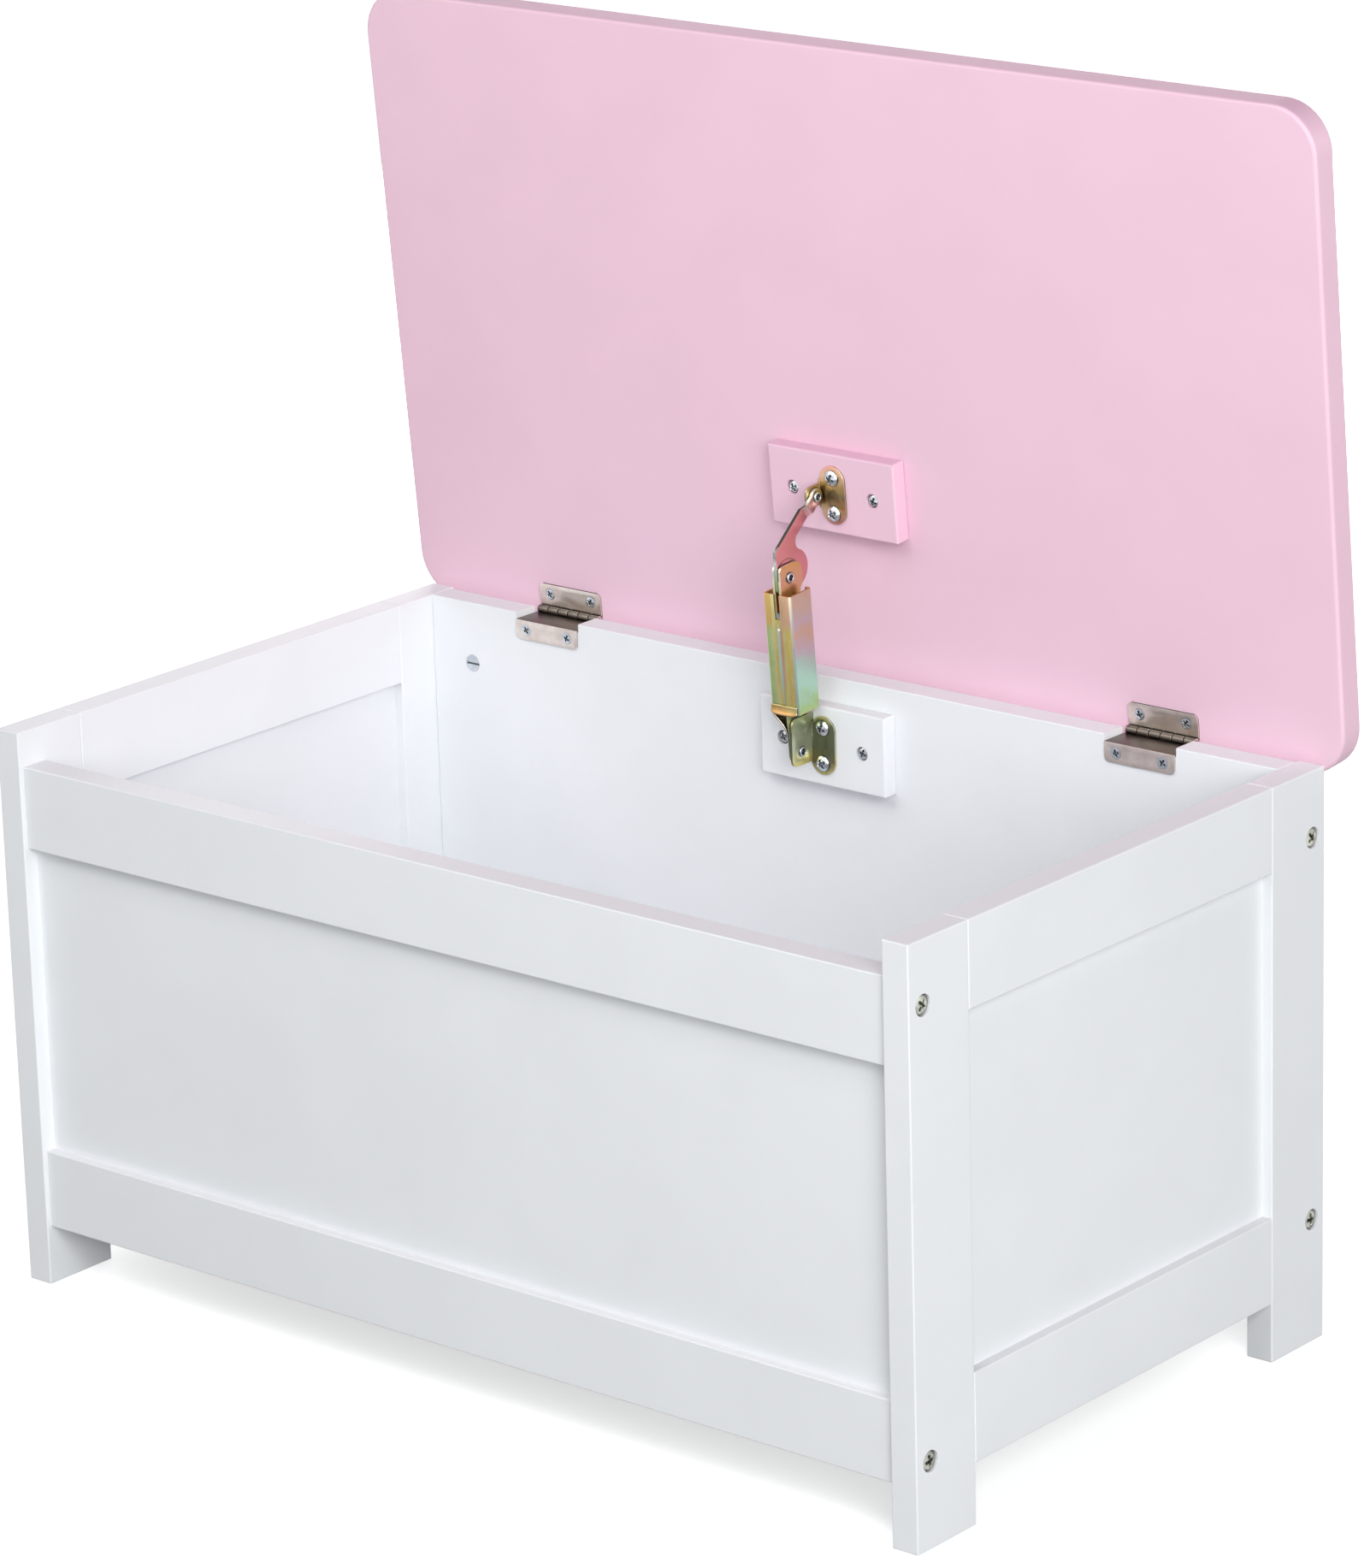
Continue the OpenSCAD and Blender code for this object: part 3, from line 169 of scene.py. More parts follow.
# Plated steel
plating = {
    "rollLine": 0.5,         # mm between the lines that the rolled strip keeps
    "rollLength": 14,        # mm, how long such a line is
    "rollDepth": 0.00001,
    "rollStrength": 0.25,
    "smoother": 0.08,        # how far the roughness falls and rises along the lines
    "rougher": 0.12,
    "stainSize": 9,          # mm, patches where the plating took more or less
    "stainStops": (0.3, 0.66),   # of the noise, for the dull hue and the bright one
    "upFaceShadeTurn": (0.25, 0.8),  # how far up a face looks where the painted shade on faces that look up begins, and where it is full
    "knuckleEndHighlightTurn": (0.15, 0.4),  # the same to the side, for the painted highlight on the ends of the knuckles
    "knuckleSoftness": 0.1,  # mm
    # colour of the painted shade in recesses, slots and hollows
    "recessShadeHex": "#26282a",
    "finishes": {            # the last item: reach in mm and depth of the painted shade in recesses
        "nickelPlatedPressedSteel": {    # warm and bright
            "brightHex": "#f0e6dd", "dullHex": "#dacdc3", "roughness": 0.3, "recessShade": (1.1, 2.0),
            "upFaceShadeHex": "#625850",         # painted shade on faces that look up, for the dark they mirror
            "knuckleShadeHex": "#6f675f",     # painted shade on the rolled knuckles, for the dark they mirror
        },
        "brightZincPlatedSteel": {       # bluish and bright
            "brightHex": "#dfe4e8", "dullHex": "#b9c2ca", "roughness": 0.22, "recessShade": (1.3, 1.7),
        },
        "dullZincPlatedBolt": {          # greyed and matt from handling
            "brightHex": "#c3c5ba", "dullHex": "#7f8178", "roughness": 0.34, "recessShade": (1.6, 1.5),
        },
        "brightZincPlatedRivet": {       # as the screws, with painted shade blackening its hollow
            "brightHex": "#dfe4e8", "dullHex": "#b9c2ca", "roughness": 0.22, "recessShade": (3.0, 2.6),
        },
        "oilTemperedSpringSteel": {      # dark grey
            "brightHex": "#7a7d82", "dullHex": "#4d5054", "roughness": 0.35, "recessShade": (1.1, 2.0),
        },
    },
}


def paintedRecessShade(material, colour, reach, depth):
    # the colour with painted shade: darkened where faces stand close together, in recesses, slots and the
    # hollow of a rivet
    near = addNode(material, "ShaderNodeAmbientOcclusion", {"samples": 8, "Distance": reach / 1000})
    openness = addNode(material, "ShaderNodeMath", {"operation": "POWER", 1: depth},
                       {0: near.outputs["AO"]})
    return addNode(material, "ShaderNodeMix", {"data_type": "RGBA", 6: toLinear(plating["recessShadeHex"])},
                   {0: openness.outputs["Value"], 7: colour}).outputs[2]


def ringDistance(material, where, y, z):
    # how far a place is, in metres, from an axis along X at a Y and Z in mm
    flat = addNode(material, "ShaderNodeVectorMath", {"operation": "MULTIPLY", 1: (0, 1, 1)},
                   {0: where.outputs["Object"]})
    return addNode(material, "ShaderNodeVectorMath", {"operation": "DISTANCE", 1: (0, y / 1000, z / 1000)},
                   {0: flat.outputs["Vector"]}).outputs["Value"]


def platedSteel(name):
    # plated steel: a metallic sheen with faint roll lines and duller patches
    look = plating["finishes"][name]
    material = newMaterial(name)
    where = addNode(material, "ShaderNodeTexCoord")
    stains = addNode(material, "ShaderNodeTexNoise",
                     {"Scale": perMetre(plating["stainSize"]), "Detail": 4.0, "Roughness": 0.6},
                     {"Vector": where.outputs["Object"]})
    hues = (toLinear(look["dullHex"]), toLinear(look["brightHex"]))
    colour = addNode(material, "ShaderNodeValToRGB", {"stops": list(zip(plating["stainStops"], hues))},
                     {"Fac": stains.outputs["Fac"]})
    layers = []
    # painted shade: faces that look up are darkened
    if "upFaceShadeHex" in look:
        layers.append((lookingUp(material, where, *plating["upFaceShadeTurn"]), look["upFaceShadeHex"]))
    # painted shade darkens the knuckles, and a painted highlight brightens faces that look sideways, the
    # knuckles' ends among them
    if "knuckleShadeHex" in look:
        reach, soft = knuckles["reach"], plating["knuckleSoftness"]
        shadedKnuckle = addNode(material, "ShaderNodeMapRange",
                            {"From Min": (reach + soft) / 1000, "From Max": (reach - soft) / 1000},
                            {"Value": ringDistance(material, where, *knuckles["axis"])})
        highlightedEnd = addNode(material, "ShaderNodeMapRange",
                        {"From Min": plating["knuckleEndHighlightTurn"][0], "From Max": plating["knuckleEndHighlightTurn"][1]},
                        {"Value": lookingSideways(material, where)})
        layers += [(shadedKnuckle.outputs["Result"], look["knuckleShadeHex"]),
                   (highlightedEnd.outputs["Result"], look["brightHex"])]
    hue = layHues(material, colour.outputs["Color"], layers)
    alongLine, acrossLine = perMetre(plating["rollLength"]), perMetre(plating["rollLine"])
    stretch = addNode(material, "ShaderNodeMapping", {"Scale": (alongLine, acrossLine, acrossLine)},
                      {"Vector": where.outputs["Object"]})
    lines = addNode(material, "ShaderNodeTexNoise", {"Scale": 1.0, "Detail": 2.0},
                    {"Vector": stretch.outputs["Vector"]})
    gloss = addNode(material, "ShaderNodeMapRange",
                    {"To Min": look["roughness"] - plating["smoother"],
                     "To Max": look["roughness"] + plating["rougher"]},
                    {"Value": lines.outputs["Fac"]})
    bump = addNode(material, "ShaderNodeBump",
                   {"Strength": plating["rollStrength"], "Distance": plating["rollDepth"]},
                   {"Height": lines.outputs["Fac"]})
    shader = addNode(material, "ShaderNodeBsdfPrincipled", {"Metallic": 1.0},
                     {"Base Color": paintedRecessShade(material, hue, *look["recessShade"]),
                      "Roughness": gloss.outputs["Result"], "Normal": bump.outputs["Normal"]})
    addNode(material, "ShaderNodeOutputMaterial", None, {"Surface": shader.outputs["BSDF"]})
    return material


# Chromate passivation on zinc
chromate = {
    "hues": {
        "gold": "#dcc66c", "straw": "#dfd896", "olive": "#bcb871", "leaf": "#b5d190", "aqua": "#b9dbc8",
        "mist": "#c9c5c4", "sand": "#cdc6ac", "buff": "#d2c0a0", "tan": "#dcb491", "rose": "#dc9d93",
        "blush": "#dd9a9c", "amber": "#dcb86f", "copper": "#bb935c", "bronze": "#a58c5c",
        # steel: a dark hue, used as painted shade on the arm's edges
        "sage": "#c6cbae", "silver": "#e4e7e2", "steel": "#4a4640", "moss": "#98a07c",
        "umber": "#787456", "slate": "#6d745a",
    },
    "driftSize": 11,         # mm, how far the film's thickness runs before its hue turns
    "driftAmount": 0.34,     # share of the whole run of hues that this moves them
    "speckleSize": 1.6,      # mm, fine clouding of the film
    "speckleAmount": 0.10,
    "grainSize": 0.7,        # mm, fine mottle of the zinc under the film
    "grainDepth": 0.00001,
    "grainStrength": 0.2,
    "recessShade": (1.1, 1.4),     # reach in mm and depth of the painted shade between faces that stand close
    "sideTurn": (0.35, 0.75),    # how far sideways a face looks where the sides' hues begin, and are full
    "wearAndHighlight": 0.6,             # how far the film is worn off along rounded edges, where the silver also stands as a painted highlight line
    "wearAndHighlightTurn": (0.45, 0.74),    # how far sideways these look
    "wearAndHighlightSoftness": 0.05,
    "scuffShare": 0.8,       # how far a turning part has rubbed its ring dull
    "scuffWidth": 0.7,       # mm, as the next one
    "scuffSoftness": 0.2,
    "markSoftness": (0.3, 3),    # mm, across and up
    "roughness": (0.22, 0.4),
}

# Plates of the stay, with the film's hues from the foot up, on their sides and on their edges
# across: the edges' hues run from left to right instead
# marks: left, right, low and high of a patch on the edges in mm, and its hue
# scuff: Y, Z and radius in mm of a ring that a turning part has rubbed on the sides
# cloudy: share of the light that a thick, milky film scatters instead of mirroring it
# heights: low and high in metres, where they aren't the node's own
stayPlates = {
    "stay_housing": {
        "material": "yellowPassivatedHousing",
        "sides": "straw leaf aqua aqua aqua mist buff mist sand buff",
        "edges": "olive leaf straw gold straw gold straw",
        "across": True,
        "marks": ((-18.0, -12.0, 350, 372, "amber"), (-5.9, 1.0, 350, 372, "tan"),
                  (-6.8, -5.2, 316, 351, "tan"), (-8.6, -7.4, 316, 351, "aqua")),
    },
    "box_bracket": {
        "material": "yellowPassivatedBracket",
        "sides": "gold gold straw sage sage moss moss",
        "edges": "straw umber slate slate slate straw",
        "cloudy": 0.25,
    },
    "lid_bracket": {
        "material": "rosePassivatedBracket",
        "sides": "buff bronze buff",
        "edges": "rose tan bronze umber bronze tan rose",
    },
    "stay_clevis": {
        "material": "amberPassivatedClevis",
        "sides": "amber amber tan amber",
        "edges": "silver buff silver",
    },
    "stay_arm": {
        "material": "rosePassivatedArm",
        "sides": "rose blush rose blush buff",
        # painted shade: the dark steel hue on the arm's upper edges, which would otherwise mirror the bright
        # surroundings
        "edges": "leaf leaf silver steel steel steel silver",
        "scuff": (117.3, 376.48, 9.8),
    },
    "housing_neck": {
        "material": "amberPassivatedNeckShaded",
        # painted shade: umber on the neck's sides, for the inner face of the wall that lies in shade
        "sides": "umber umber umber",
        "edges": "buff tan copper straw",
        "heights": (0.290, 0.307),
    },
}


def evenRun(hues):
    # a ramp's stops, which spread the film's hues evenly from 0 to 1
    run = [toLinear(chromate["hues"][hue]) for hue in hues.split()]
    return [(n / (len(run) - 1), colour) for n, colour in enumerate(run)]


def inBand(material, value, low, high, soft):
    # 1 between low and high and 0 outside, with soft ends
    enter = addNode(material, "ShaderNodeMapRange", {"From Min": low - soft, "From Max": low + soft},
                    {"Value": value})
    leave = addNode(material, "ShaderNodeMapRange", {"From Min": high + soft, "From Max": high - soft},
                    {"Value": value})
    return addNode(material, "ShaderNodeMath", {"operation": "MULTIPLY"},
                   {0: enter.outputs["Result"], 1: leave.outputs["Result"]}).outputs["Value"]


def passivatedZinc(part):
    # yellow passivation: a thin film whose hue runs with its thickness, down the piece as it drained
    look = stayPlates[part]
    material = newMaterial(look["material"])
    where = addNode(material, "ShaderNodeTexCoord")
    spot = addNode(material, "ShaderNodeSeparateXYZ", None, {"Vector": where.outputs["Object"]})
    sideways = lookingSideways(material, where)
    drift = addNode(material, "ShaderNodeTexNoise",
                    {"Scale": perMetre(chromate["driftSize"]), "Detail": 3.0, "Roughness": 0.55},
                    {"Vector": where.outputs["Object"]})
    speckle = addNode(material, "ShaderNodeTexNoise",
                      {"Scale": perMetre(chromate["speckleSize"]), "Detail": 2.0, "Roughness": 0.6},
                      {"Vector": where.outputs["Object"]})
    speckled = addNode(material, "ShaderNodeMath", {"operation": "MULTIPLY", 1: chromate["speckleAmount"]},
                       {0: speckle.outputs["Fac"]})
    film = addNode(material, "ShaderNodeMath", {"operation": "MULTIPLY_ADD", 1: chromate["driftAmount"]},
                   {0: drift.outputs["Fac"], 2: speckled.outputs["Value"]})
    slack = (chromate["driftAmount"] + chromate["speckleAmount"]) / 2

    def runAlong(axis, start, end):
        climb = addNode(material, "ShaderNodeMapRange",
                        {"From Min": start, "From Max": end, "To Min": -slack, "To Max": 1 - slack},
                        {"Value": spot.outputs[axis]})
        return addNode(material, "ShaderNodeMath", {"operation": "ADD"},
                       {0: film.outputs["Value"], 1: climb.outputs["Result"]}).outputs["Value"]

    upward = runAlong("Z", *(look.get("heights") or [corner.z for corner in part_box(part)]))
    side = addNode(material, "ShaderNodeValToRGB", {"stops": evenRun(look["sides"])},
                   {"Fac": upward}).outputs["Color"]
    edgeRun = runAlong("X", *[corner.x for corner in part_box(part)]) if look.get("across") else upward
    edge = addNode(material, "ShaderNodeValToRGB", {"stops": evenRun(look["edges"])},
                   {"Fac": edgeRun}).outputs["Color"]
    softAcross, softUp = (soft / 1000 for soft in chromate["markSoftness"])
    for left, right, low, high, hue in look.get("marks", ()):
        here = addNode(material, "ShaderNodeMath", {"operation": "MULTIPLY"},
                       {0: inBand(material, spot.outputs["X"], left / 1000, right / 1000, softAcross),
                        1: inBand(material, spot.outputs["Z"], low / 1000, high / 1000, softUp)})
        edge = layHues(material, edge, [(here.outputs["Value"], chromate["hues"][hue])])
    if "scuff" in look:
        y, z, radius = look["scuff"]
        ring = inBand(material, ringDistance(material, where, y, z), radius / 1000,
                      (radius + chromate["scuffWidth"]) / 1000, chromate["scuffSoftness"] / 1000)
        rubbed = addNode(material, "ShaderNodeMath", {"operation": "MULTIPLY", 1: chromate["scuffShare"]},
                         {0: ring})
        side = layHues(material, side, [(rubbed.outputs["Value"], chromate["hues"]["umber"])])
    isSide = addNode(material, "ShaderNodeMapRange",
                     {"From Min": chromate["sideTurn"][0], "From Max": chromate["sideTurn"][1]},
                     {"Value": sideways})
    hue = addNode(material, "ShaderNodeMix", {"data_type": "RGBA"},
                  {0: isSide.outputs["Result"], 6: edge, 7: side}).outputs[2]
    # silver along the rounded edges: worn film, and a painted highlight line where edge meets side
    wornAndHighlit = addNode(material, "ShaderNodeMath", {"operation": "MULTIPLY", 1: chromate["wearAndHighlight"]},
                   {0: inBand(material, sideways, *chromate["wearAndHighlightTurn"], chromate["wearAndHighlightSoftness"])})
    hue = layHues(material, hue, [(wornAndHighlit.outputs["Value"], chromate["hues"]["silver"])])
    grain = addNode(material, "ShaderNodeTexNoise",
                    {"Scale": perMetre(chromate["grainSize"]), "Detail": 2.0},
                    {"Vector": where.outputs["Object"]})
    gloss = addNode(material, "ShaderNodeMapRange",
                    {"To Min": chromate["roughness"][0], "To Max": chromate["roughness"][1]},
                    {"Value": grain.outputs["Fac"]})
    bump = addNode(material, "ShaderNodeBump",
                   {"Strength": chromate["grainStrength"], "Distance": chromate["grainDepth"]},
                   {"Height": grain.outputs["Fac"]})
    shader = addNode(material, "ShaderNodeBsdfPrincipled", {"Metallic": 1.0 - look.get("cloudy", 0.0)},
                     {"Base Color": paintedRecessShade(material, hue, *chromate["recessShade"]),
                      "Roughness": gloss.outputs["Result"], "Normal": bump.outputs["Normal"]})
    addNode(material, "ShaderNodeOutputMaterial", None, {"Surface": shader.outputs["BSDF"]})
    return material


# Turned beech dowels
dowelWood = {
    "lightHex": "#dcbf92",
    "darkHex": "#c49f6c",
    "stops": (0.35, 0.6),    # of the noise, for the dark flecks and the light wood
    "grain": 1.2,            # mm from fleck to fleck across the grain, and along it below
    "grainLength": 30,
    "roughness": 0.65,
    "ior": 1.5,
}


def turnedBeech(name):
    # raw beech: pale and matt, with short darker flecks along the grain
    material = newMaterial(name)
    where = addNode(material, "ShaderNodeTexCoord")
    alongGrain, acrossGrain = perMetre(dowelWood["grainLength"]), perMetre(dowelWood["grain"])
    stretch = addNode(material, "ShaderNodeMapping", {"Scale": (alongGrain, acrossGrain, acrossGrain)},
                      {"Vector": where.outputs["Object"]})
    grain = addNode(material, "ShaderNodeTexNoise", {"Scale": 1.0, "Detail": 3.0},
                    {"Vector": stretch.outputs["Vector"]})
    hues = (toLinear(dowelWood["darkHex"]), toLinear(dowelWood["lightHex"]))
    colour = addNode(material, "ShaderNodeValToRGB", {"stops": list(zip(dowelWood["stops"], hues))},
                     {"Fac": grain.outputs["Fac"]})
    shader = addNode(material, "ShaderNodeBsdfPrincipled",
                     {"Roughness": dowelWood["roughness"], "IOR": dowelWood["ior"]},
                     {"Base Color": colour.outputs["Color"]})
    addNode(material, "ShaderNodeOutputMaterial", None, {"Surface": shader.outputs["BSDF"]})
    return material


# Moulded brake pad
padPlastic = {
    "greyHex": "#8d8f92",
    "mottle": 0.6,           # mm
    "mottleDepth": 0.00002,
    "mottleStrength": 0.3,
    "roughness": 0.5,
    "ior": 1.48,
}


def mouldedAcetal(name):
    # moulded acetal: waxy grey with a fine mould texture
    material = newMaterial(name)
    where = addNode(material, "ShaderNodeTexCoord")
    mottle = addNode(material, "ShaderNodeTexNoise", {"Scale": perMetre(padPlastic["mottle"])},
                     {"Vector": where.outputs["Object"]})
    bump = addNode(material, "ShaderNodeBump",
                   {"Strength": padPlastic["mottleStrength"], "Distance": padPlastic["mottleDepth"]},
                   {"Height": mottle.outputs["Fac"]})
    shader = addNode(material, "ShaderNodeBsdfPrincipled",
                     {"Base Color": toLinear(padPlastic["greyHex"]), "Roughness": padPlastic["roughness"],
                      "IOR": padPlastic["ior"]},
                     {"Normal": bump.outputs["Normal"]})
    addNode(material, "ShaderNodeOutputMaterial", None, {"Surface": shader.outputs["BSDF"]})
    return material


whiteLacquer = sprayedLacquer("whiteLacquerOnFibreboard", lacquer["whiteHex"], lacquer["whiteEdgeSoakAndShadeHex"])
panelLacquer = sprayedLacquer("whiteLacquerOnThinBoard", lacquer["whiteHex"])
pinkLacquer = sprayedLacquer("pinkLacquerOnFibreboard", lacquer["pinkHex"], lacquer["pinkEdgeSoakAndShadeHex"])
nickelSteel = platedSteel("nickelPlatedPressedSteel")
zincSteel = platedSteel("brightZincPlatedSteel")
boltZinc = platedSteel("dullZincPlatedBolt")
rivetZinc = platedSteel("brightZincPlatedRivet")
springSteel = platedSteel("oilTemperedSpringSteel")
plateZinc = {part: passivatedZinc(part) for part in stayPlates}
beech = turnedBeech("turnedBeech")
acetal = mouldedAcetal("mouldedAcetal")
print("materials made:", len(bpy.data.materials))

# Boards that aren't named here are white
finishOf = {
    "floor_panel": panelLacquer, "lid": pinkLacquer, "lid_stay_block": pinkLacquer,
    "left_box_leaf": nickelSteel, "right_box_leaf": nickelSteel,
    "left_lid_leaf": nickelSteel, "right_lid_leaf": nickelSteel, "hinge_pins": nickelSteel,
    "side_bolts": boltZinc, "barrel_nuts": zincSteel, "box_block_screws": zincSteel,
    "box_hinge_screws": zincSteel, "box_bracket_screws": zincSteel, "lid_block_screws": zincSteel,
    "lid_hinge_screws": zincSteel, "lid_bracket_screws": zincSteel,
    "box_rivet": rivetZinc, "middle_rivet": rivetZinc, "lid_rivet": rivetZinc,
    "stay_strap": plateZinc["box_bracket"], "brake_pad": acetal,
    "rail_dowels": beech, "frame_dowels": beech, **plateZinc,
}
for nodeName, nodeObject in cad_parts.items():
    nodeObject.data.materials.clear()
    nodeObject.data.materials.append(finishOf.get(nodeName, whiteLacquer))
print("finishes given to the nodes")


def addPiece(name, mesh, finish, body, *replaced):
    # a new piece that rides on a body and stands for the nodes named after it
    mesh.materials.clear()
    mesh.materials.append(finish)
    piece = bpy.data.objects.new(name, mesh)
    bpy.context.scene.collection.objects.link(piece)
    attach(piece, body)
    if replaced:
        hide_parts(*replaced)
    return piece


# Pressed and stamped steel: the same plates with their sharp edges broken, so that they catch the light
stamping = {
    "segments": 3,
    "sharpFrom": 35,         # degrees between two faces
    "flatTo": 0.5,           # degrees, under which two faces are one
    "weld": 1e-6,            # metres, under which two corners are one, as the frame leaves faces apart
    # node: the body it rides on and, in metres, the round that tumbling leaves on its edges
    "nodes": {
        "stay_housing": ("stay_spring_housing", 0.0003), "stay_strap": ("stay_spring_housing", 0.0003),
        "stay_clevis": ("stay_spring_housing", 0.00035), "stay_arm": ("stay_lever", 0.00022),
        "box_bracket": ("chest", 0.00045), "lid_bracket": ("lid", 0.00045),
        "left_box_leaf": ("chest", 0.0003), "right_box_leaf": ("chest", 0.0003),
        "left_lid_leaf": ("lid", 0.0003), "right_lid_leaf": ("lid", 0.0003),
    },
}

# Foot of the housing: the front wall flares into a lip, and the left wall narrows into the strap
foot = {
    "pivot": (0.0, 125.307, 277.0),   # mm, the lower pivot, from which the housing leans
    "lean": 4.6,             # degrees
    "start": 24.5,           # mm up from the pivot, where the tube begins, as all the figures below
    "flareSlack": 0.2,       # how far under the start the tube's plain flare is taken to begin
    "flareDrop": 3,          # how far under the start it reaches
    "flareShare": 0.5,       # how much of that is left once it is drawn up
    "flareBack": 1.0,        # how far it is moved back, behind the lip
    "flareFront": -10.3,     # how far forward of the pivot it may then stand
    # the lip's line seen from the side: forward of the pivot, up from it, and its rise at its two ends
    "lip": ((-9.50, 29.2, 0.0), (-9.6, 28.4, 0.0), (-9.75, 27.4, 0.1), (-10.2, 26.2, 0.2), (-10.9, 25.1, 0.5),
            (-11.5, 24.2, 0.9)),
    "lipFrom": -17.0,
    "lipTo": 1.0,
    "lipEnds": 4,            # the higher, the nearer to its ends the lip turns back
    "lipWall": -9.6,         # the line that its ends turn back to, and how far they do
    "lipReturn": 0.55,
    "lipThick": 0.77,
    # the neck's line seen from the front: across, up, and half its depth
    "neck": ((-9.0, 8.0, 7.8), (-9.05, 11.0, 7.9), (-9.6, 14.0, 8.1), (-11.2, 17.0, 8.5), (-13.6, 19.8, 8.9),
             (-15.8, 22.2, 9.2), (-16.8, 24.0, 9.3), (-16.85, 25.0, 9.3)),
    "neckThick": 1.1,
    "steps": 20,
    "edgeRound": 0.3,
    "edgeSegments": 2,
    "edgeFrom": 50,          # degrees
}


def smoothMesh(name, form, sharpFrom=None):
    # the form as a mesh with smooth faces, split along edges from so many degrees on
    for face in form.faces:
        face.smooth = True
    mesh = bpy.data.meshes.new(name)
    form.to_mesh(mesh)
    form.free()
    if sharpFrom:
        mesh.set_sharp_from_angle(angle=radians(sharpFrom))
    return mesh


def fromFoot(x, y, z):
    # a place in the housing's own frame, in mm, to the shared frame in metres
    lean = radians(foot["lean"])
    return Vector((foot["pivot"][0] + x, foot["pivot"][1] + y * cos(lean) - z * sin(lean),
                   foot["pivot"][2] + y * sin(lean) + z * cos(lean))) / 1000


def toFoot(place):
    lean = radians(foot["lean"])
    across, deep, up = (1000 * place[axis] - foot["pivot"][axis] for axis in range(3))
    return across, deep * cos(lean) + up * sin(lean), up * cos(lean) - deep * sin(lean)


def tuckFlare(form):
    # the plain flare of the tube is drawn up behind the curved lip that stands for it
    for vert in form.verts:
        x, y, z = toFoot(vert.co)
        if z < foot["start"] - foot["flareSlack"]:
            rise = (z - foot["start"] + foot["flareDrop"]) * foot["flareShare"]
            vert.co = fromFoot(x, max(y + foot["flareBack"], foot["flareFront"]), foot["start"] + rise)


def openKnuckles(form, start):
    # start: where the leaf's first knuckle begins, in mm along X
    for vert in form.verts:
        x, y, z = (place * 1000 for place in vert.co)
        apart = hypot(y - knuckles["axis"][0], z - knuckles["axis"][1])
        phase = (x - start) % knuckles["pitch"]
        if apart < knuckles["reach"] and phase < knuckles["near"]:
            vert.co.x += knuckles["draw"] / 1000
        elif apart < knuckles["reach"] and phase > knuckles["pitch"] - knuckles["near"]:
            vert.co.x -= knuckles["draw"] / 1000


def brokenEdges(nodeName, edgeBreak):
    # the node's shape as a new mesh, with flat faces joined up and every sharp edge rounded over
    form = bmesh.new()
    form.from_mesh(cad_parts[nodeName].data)
    bmesh.ops.remove_doubles(form, verts=form.verts, dist=stamping["weld"])
    bmesh.ops.dissolve_limit(form, angle_limit=radians(stamping["flatTo"]), verts=form.verts,
                             edges=form.edges)
    if nodeName == "stay_housing":
        tuckFlare(form)
    if nodeName.endswith("_leaf"):
        openKnuckles(form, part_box(nodeName)[0][0] * 1000)
    sharp = [edge for edge in form.edges
             if len(edge.link_faces) == 2 and edge.calc_face_angle(0) > radians(stamping["sharpFrom"])]
    bmesh.ops.bevel(form, geom=sharp, offset=edgeBreak, segments=stamping["segments"],
                    profile=0.5, affect="EDGES", clamp_overlap=True)
    return smoothMesh(nodeName + "Stamped", form, stamping["sharpFrom"])


for nodeName, (body, edgeBreak) in stamping["nodes"].items():
    addPiece(nodeName + "_stamped", brokenEdges(nodeName, edgeBreak), finishOf[nodeName], body, nodeName)
print("stamped pieces:", len(stamping["nodes"]))

# Semi-tubular rivets: a rolled ring round a hollow on one end, a low dome on the other
rivetShape = {
    "bodies": {"box_rivet": "chest", "middle_rivet": "stay_spring_housing", "lid_rivet": "stay_lever"},
    "headRadius": 2.9,       # mm, as all the figures down to the hollow's
    "headHeight": 1.0,
    "shankRadius": 2.0,
    "hollowRadius": 1.7,
    "hollowDepth": 3.0,
    "hollowPoint": 0.3,
    # outlines: a share of the radius, and of the head's height how far in from the end
    # the dome and the rolled ring go by the head's radius, and the mouth by the hollow's
    "dome": ((0, 0), (0.5, 0.1), (0.82, 0.4), (1, 0.8), (1, 1)),
    "ring": ((0.97, 1), (1, 0.8), (0.97, 0.45), (0.86, 0.12), (0.74, 0), (0.62, 0.08)),
    "mouth": ((1.04, 0.35), (1, 0.6)),
    "hollowTaper": 0.94,     # of the hollow's radius, at its bottom
    "steps": 48,
}


def joinRings(form, rings):
    # faces between each ring of corners and the next; an end of the axis is a ring of one corner
    for low, high in zip(rings, rings[1:]):
        for step in range(max(len(low), len(high))):
            after = step + 1
            corners = [low[step % len(low)], high[step % len(high)],
                       high[after % len(high)], low[after % len(low)]]
            form.faces.new(list(dict.fromkeys(corners)))
    bmesh.ops.recalc_face_normals(form, faces=form.faces)


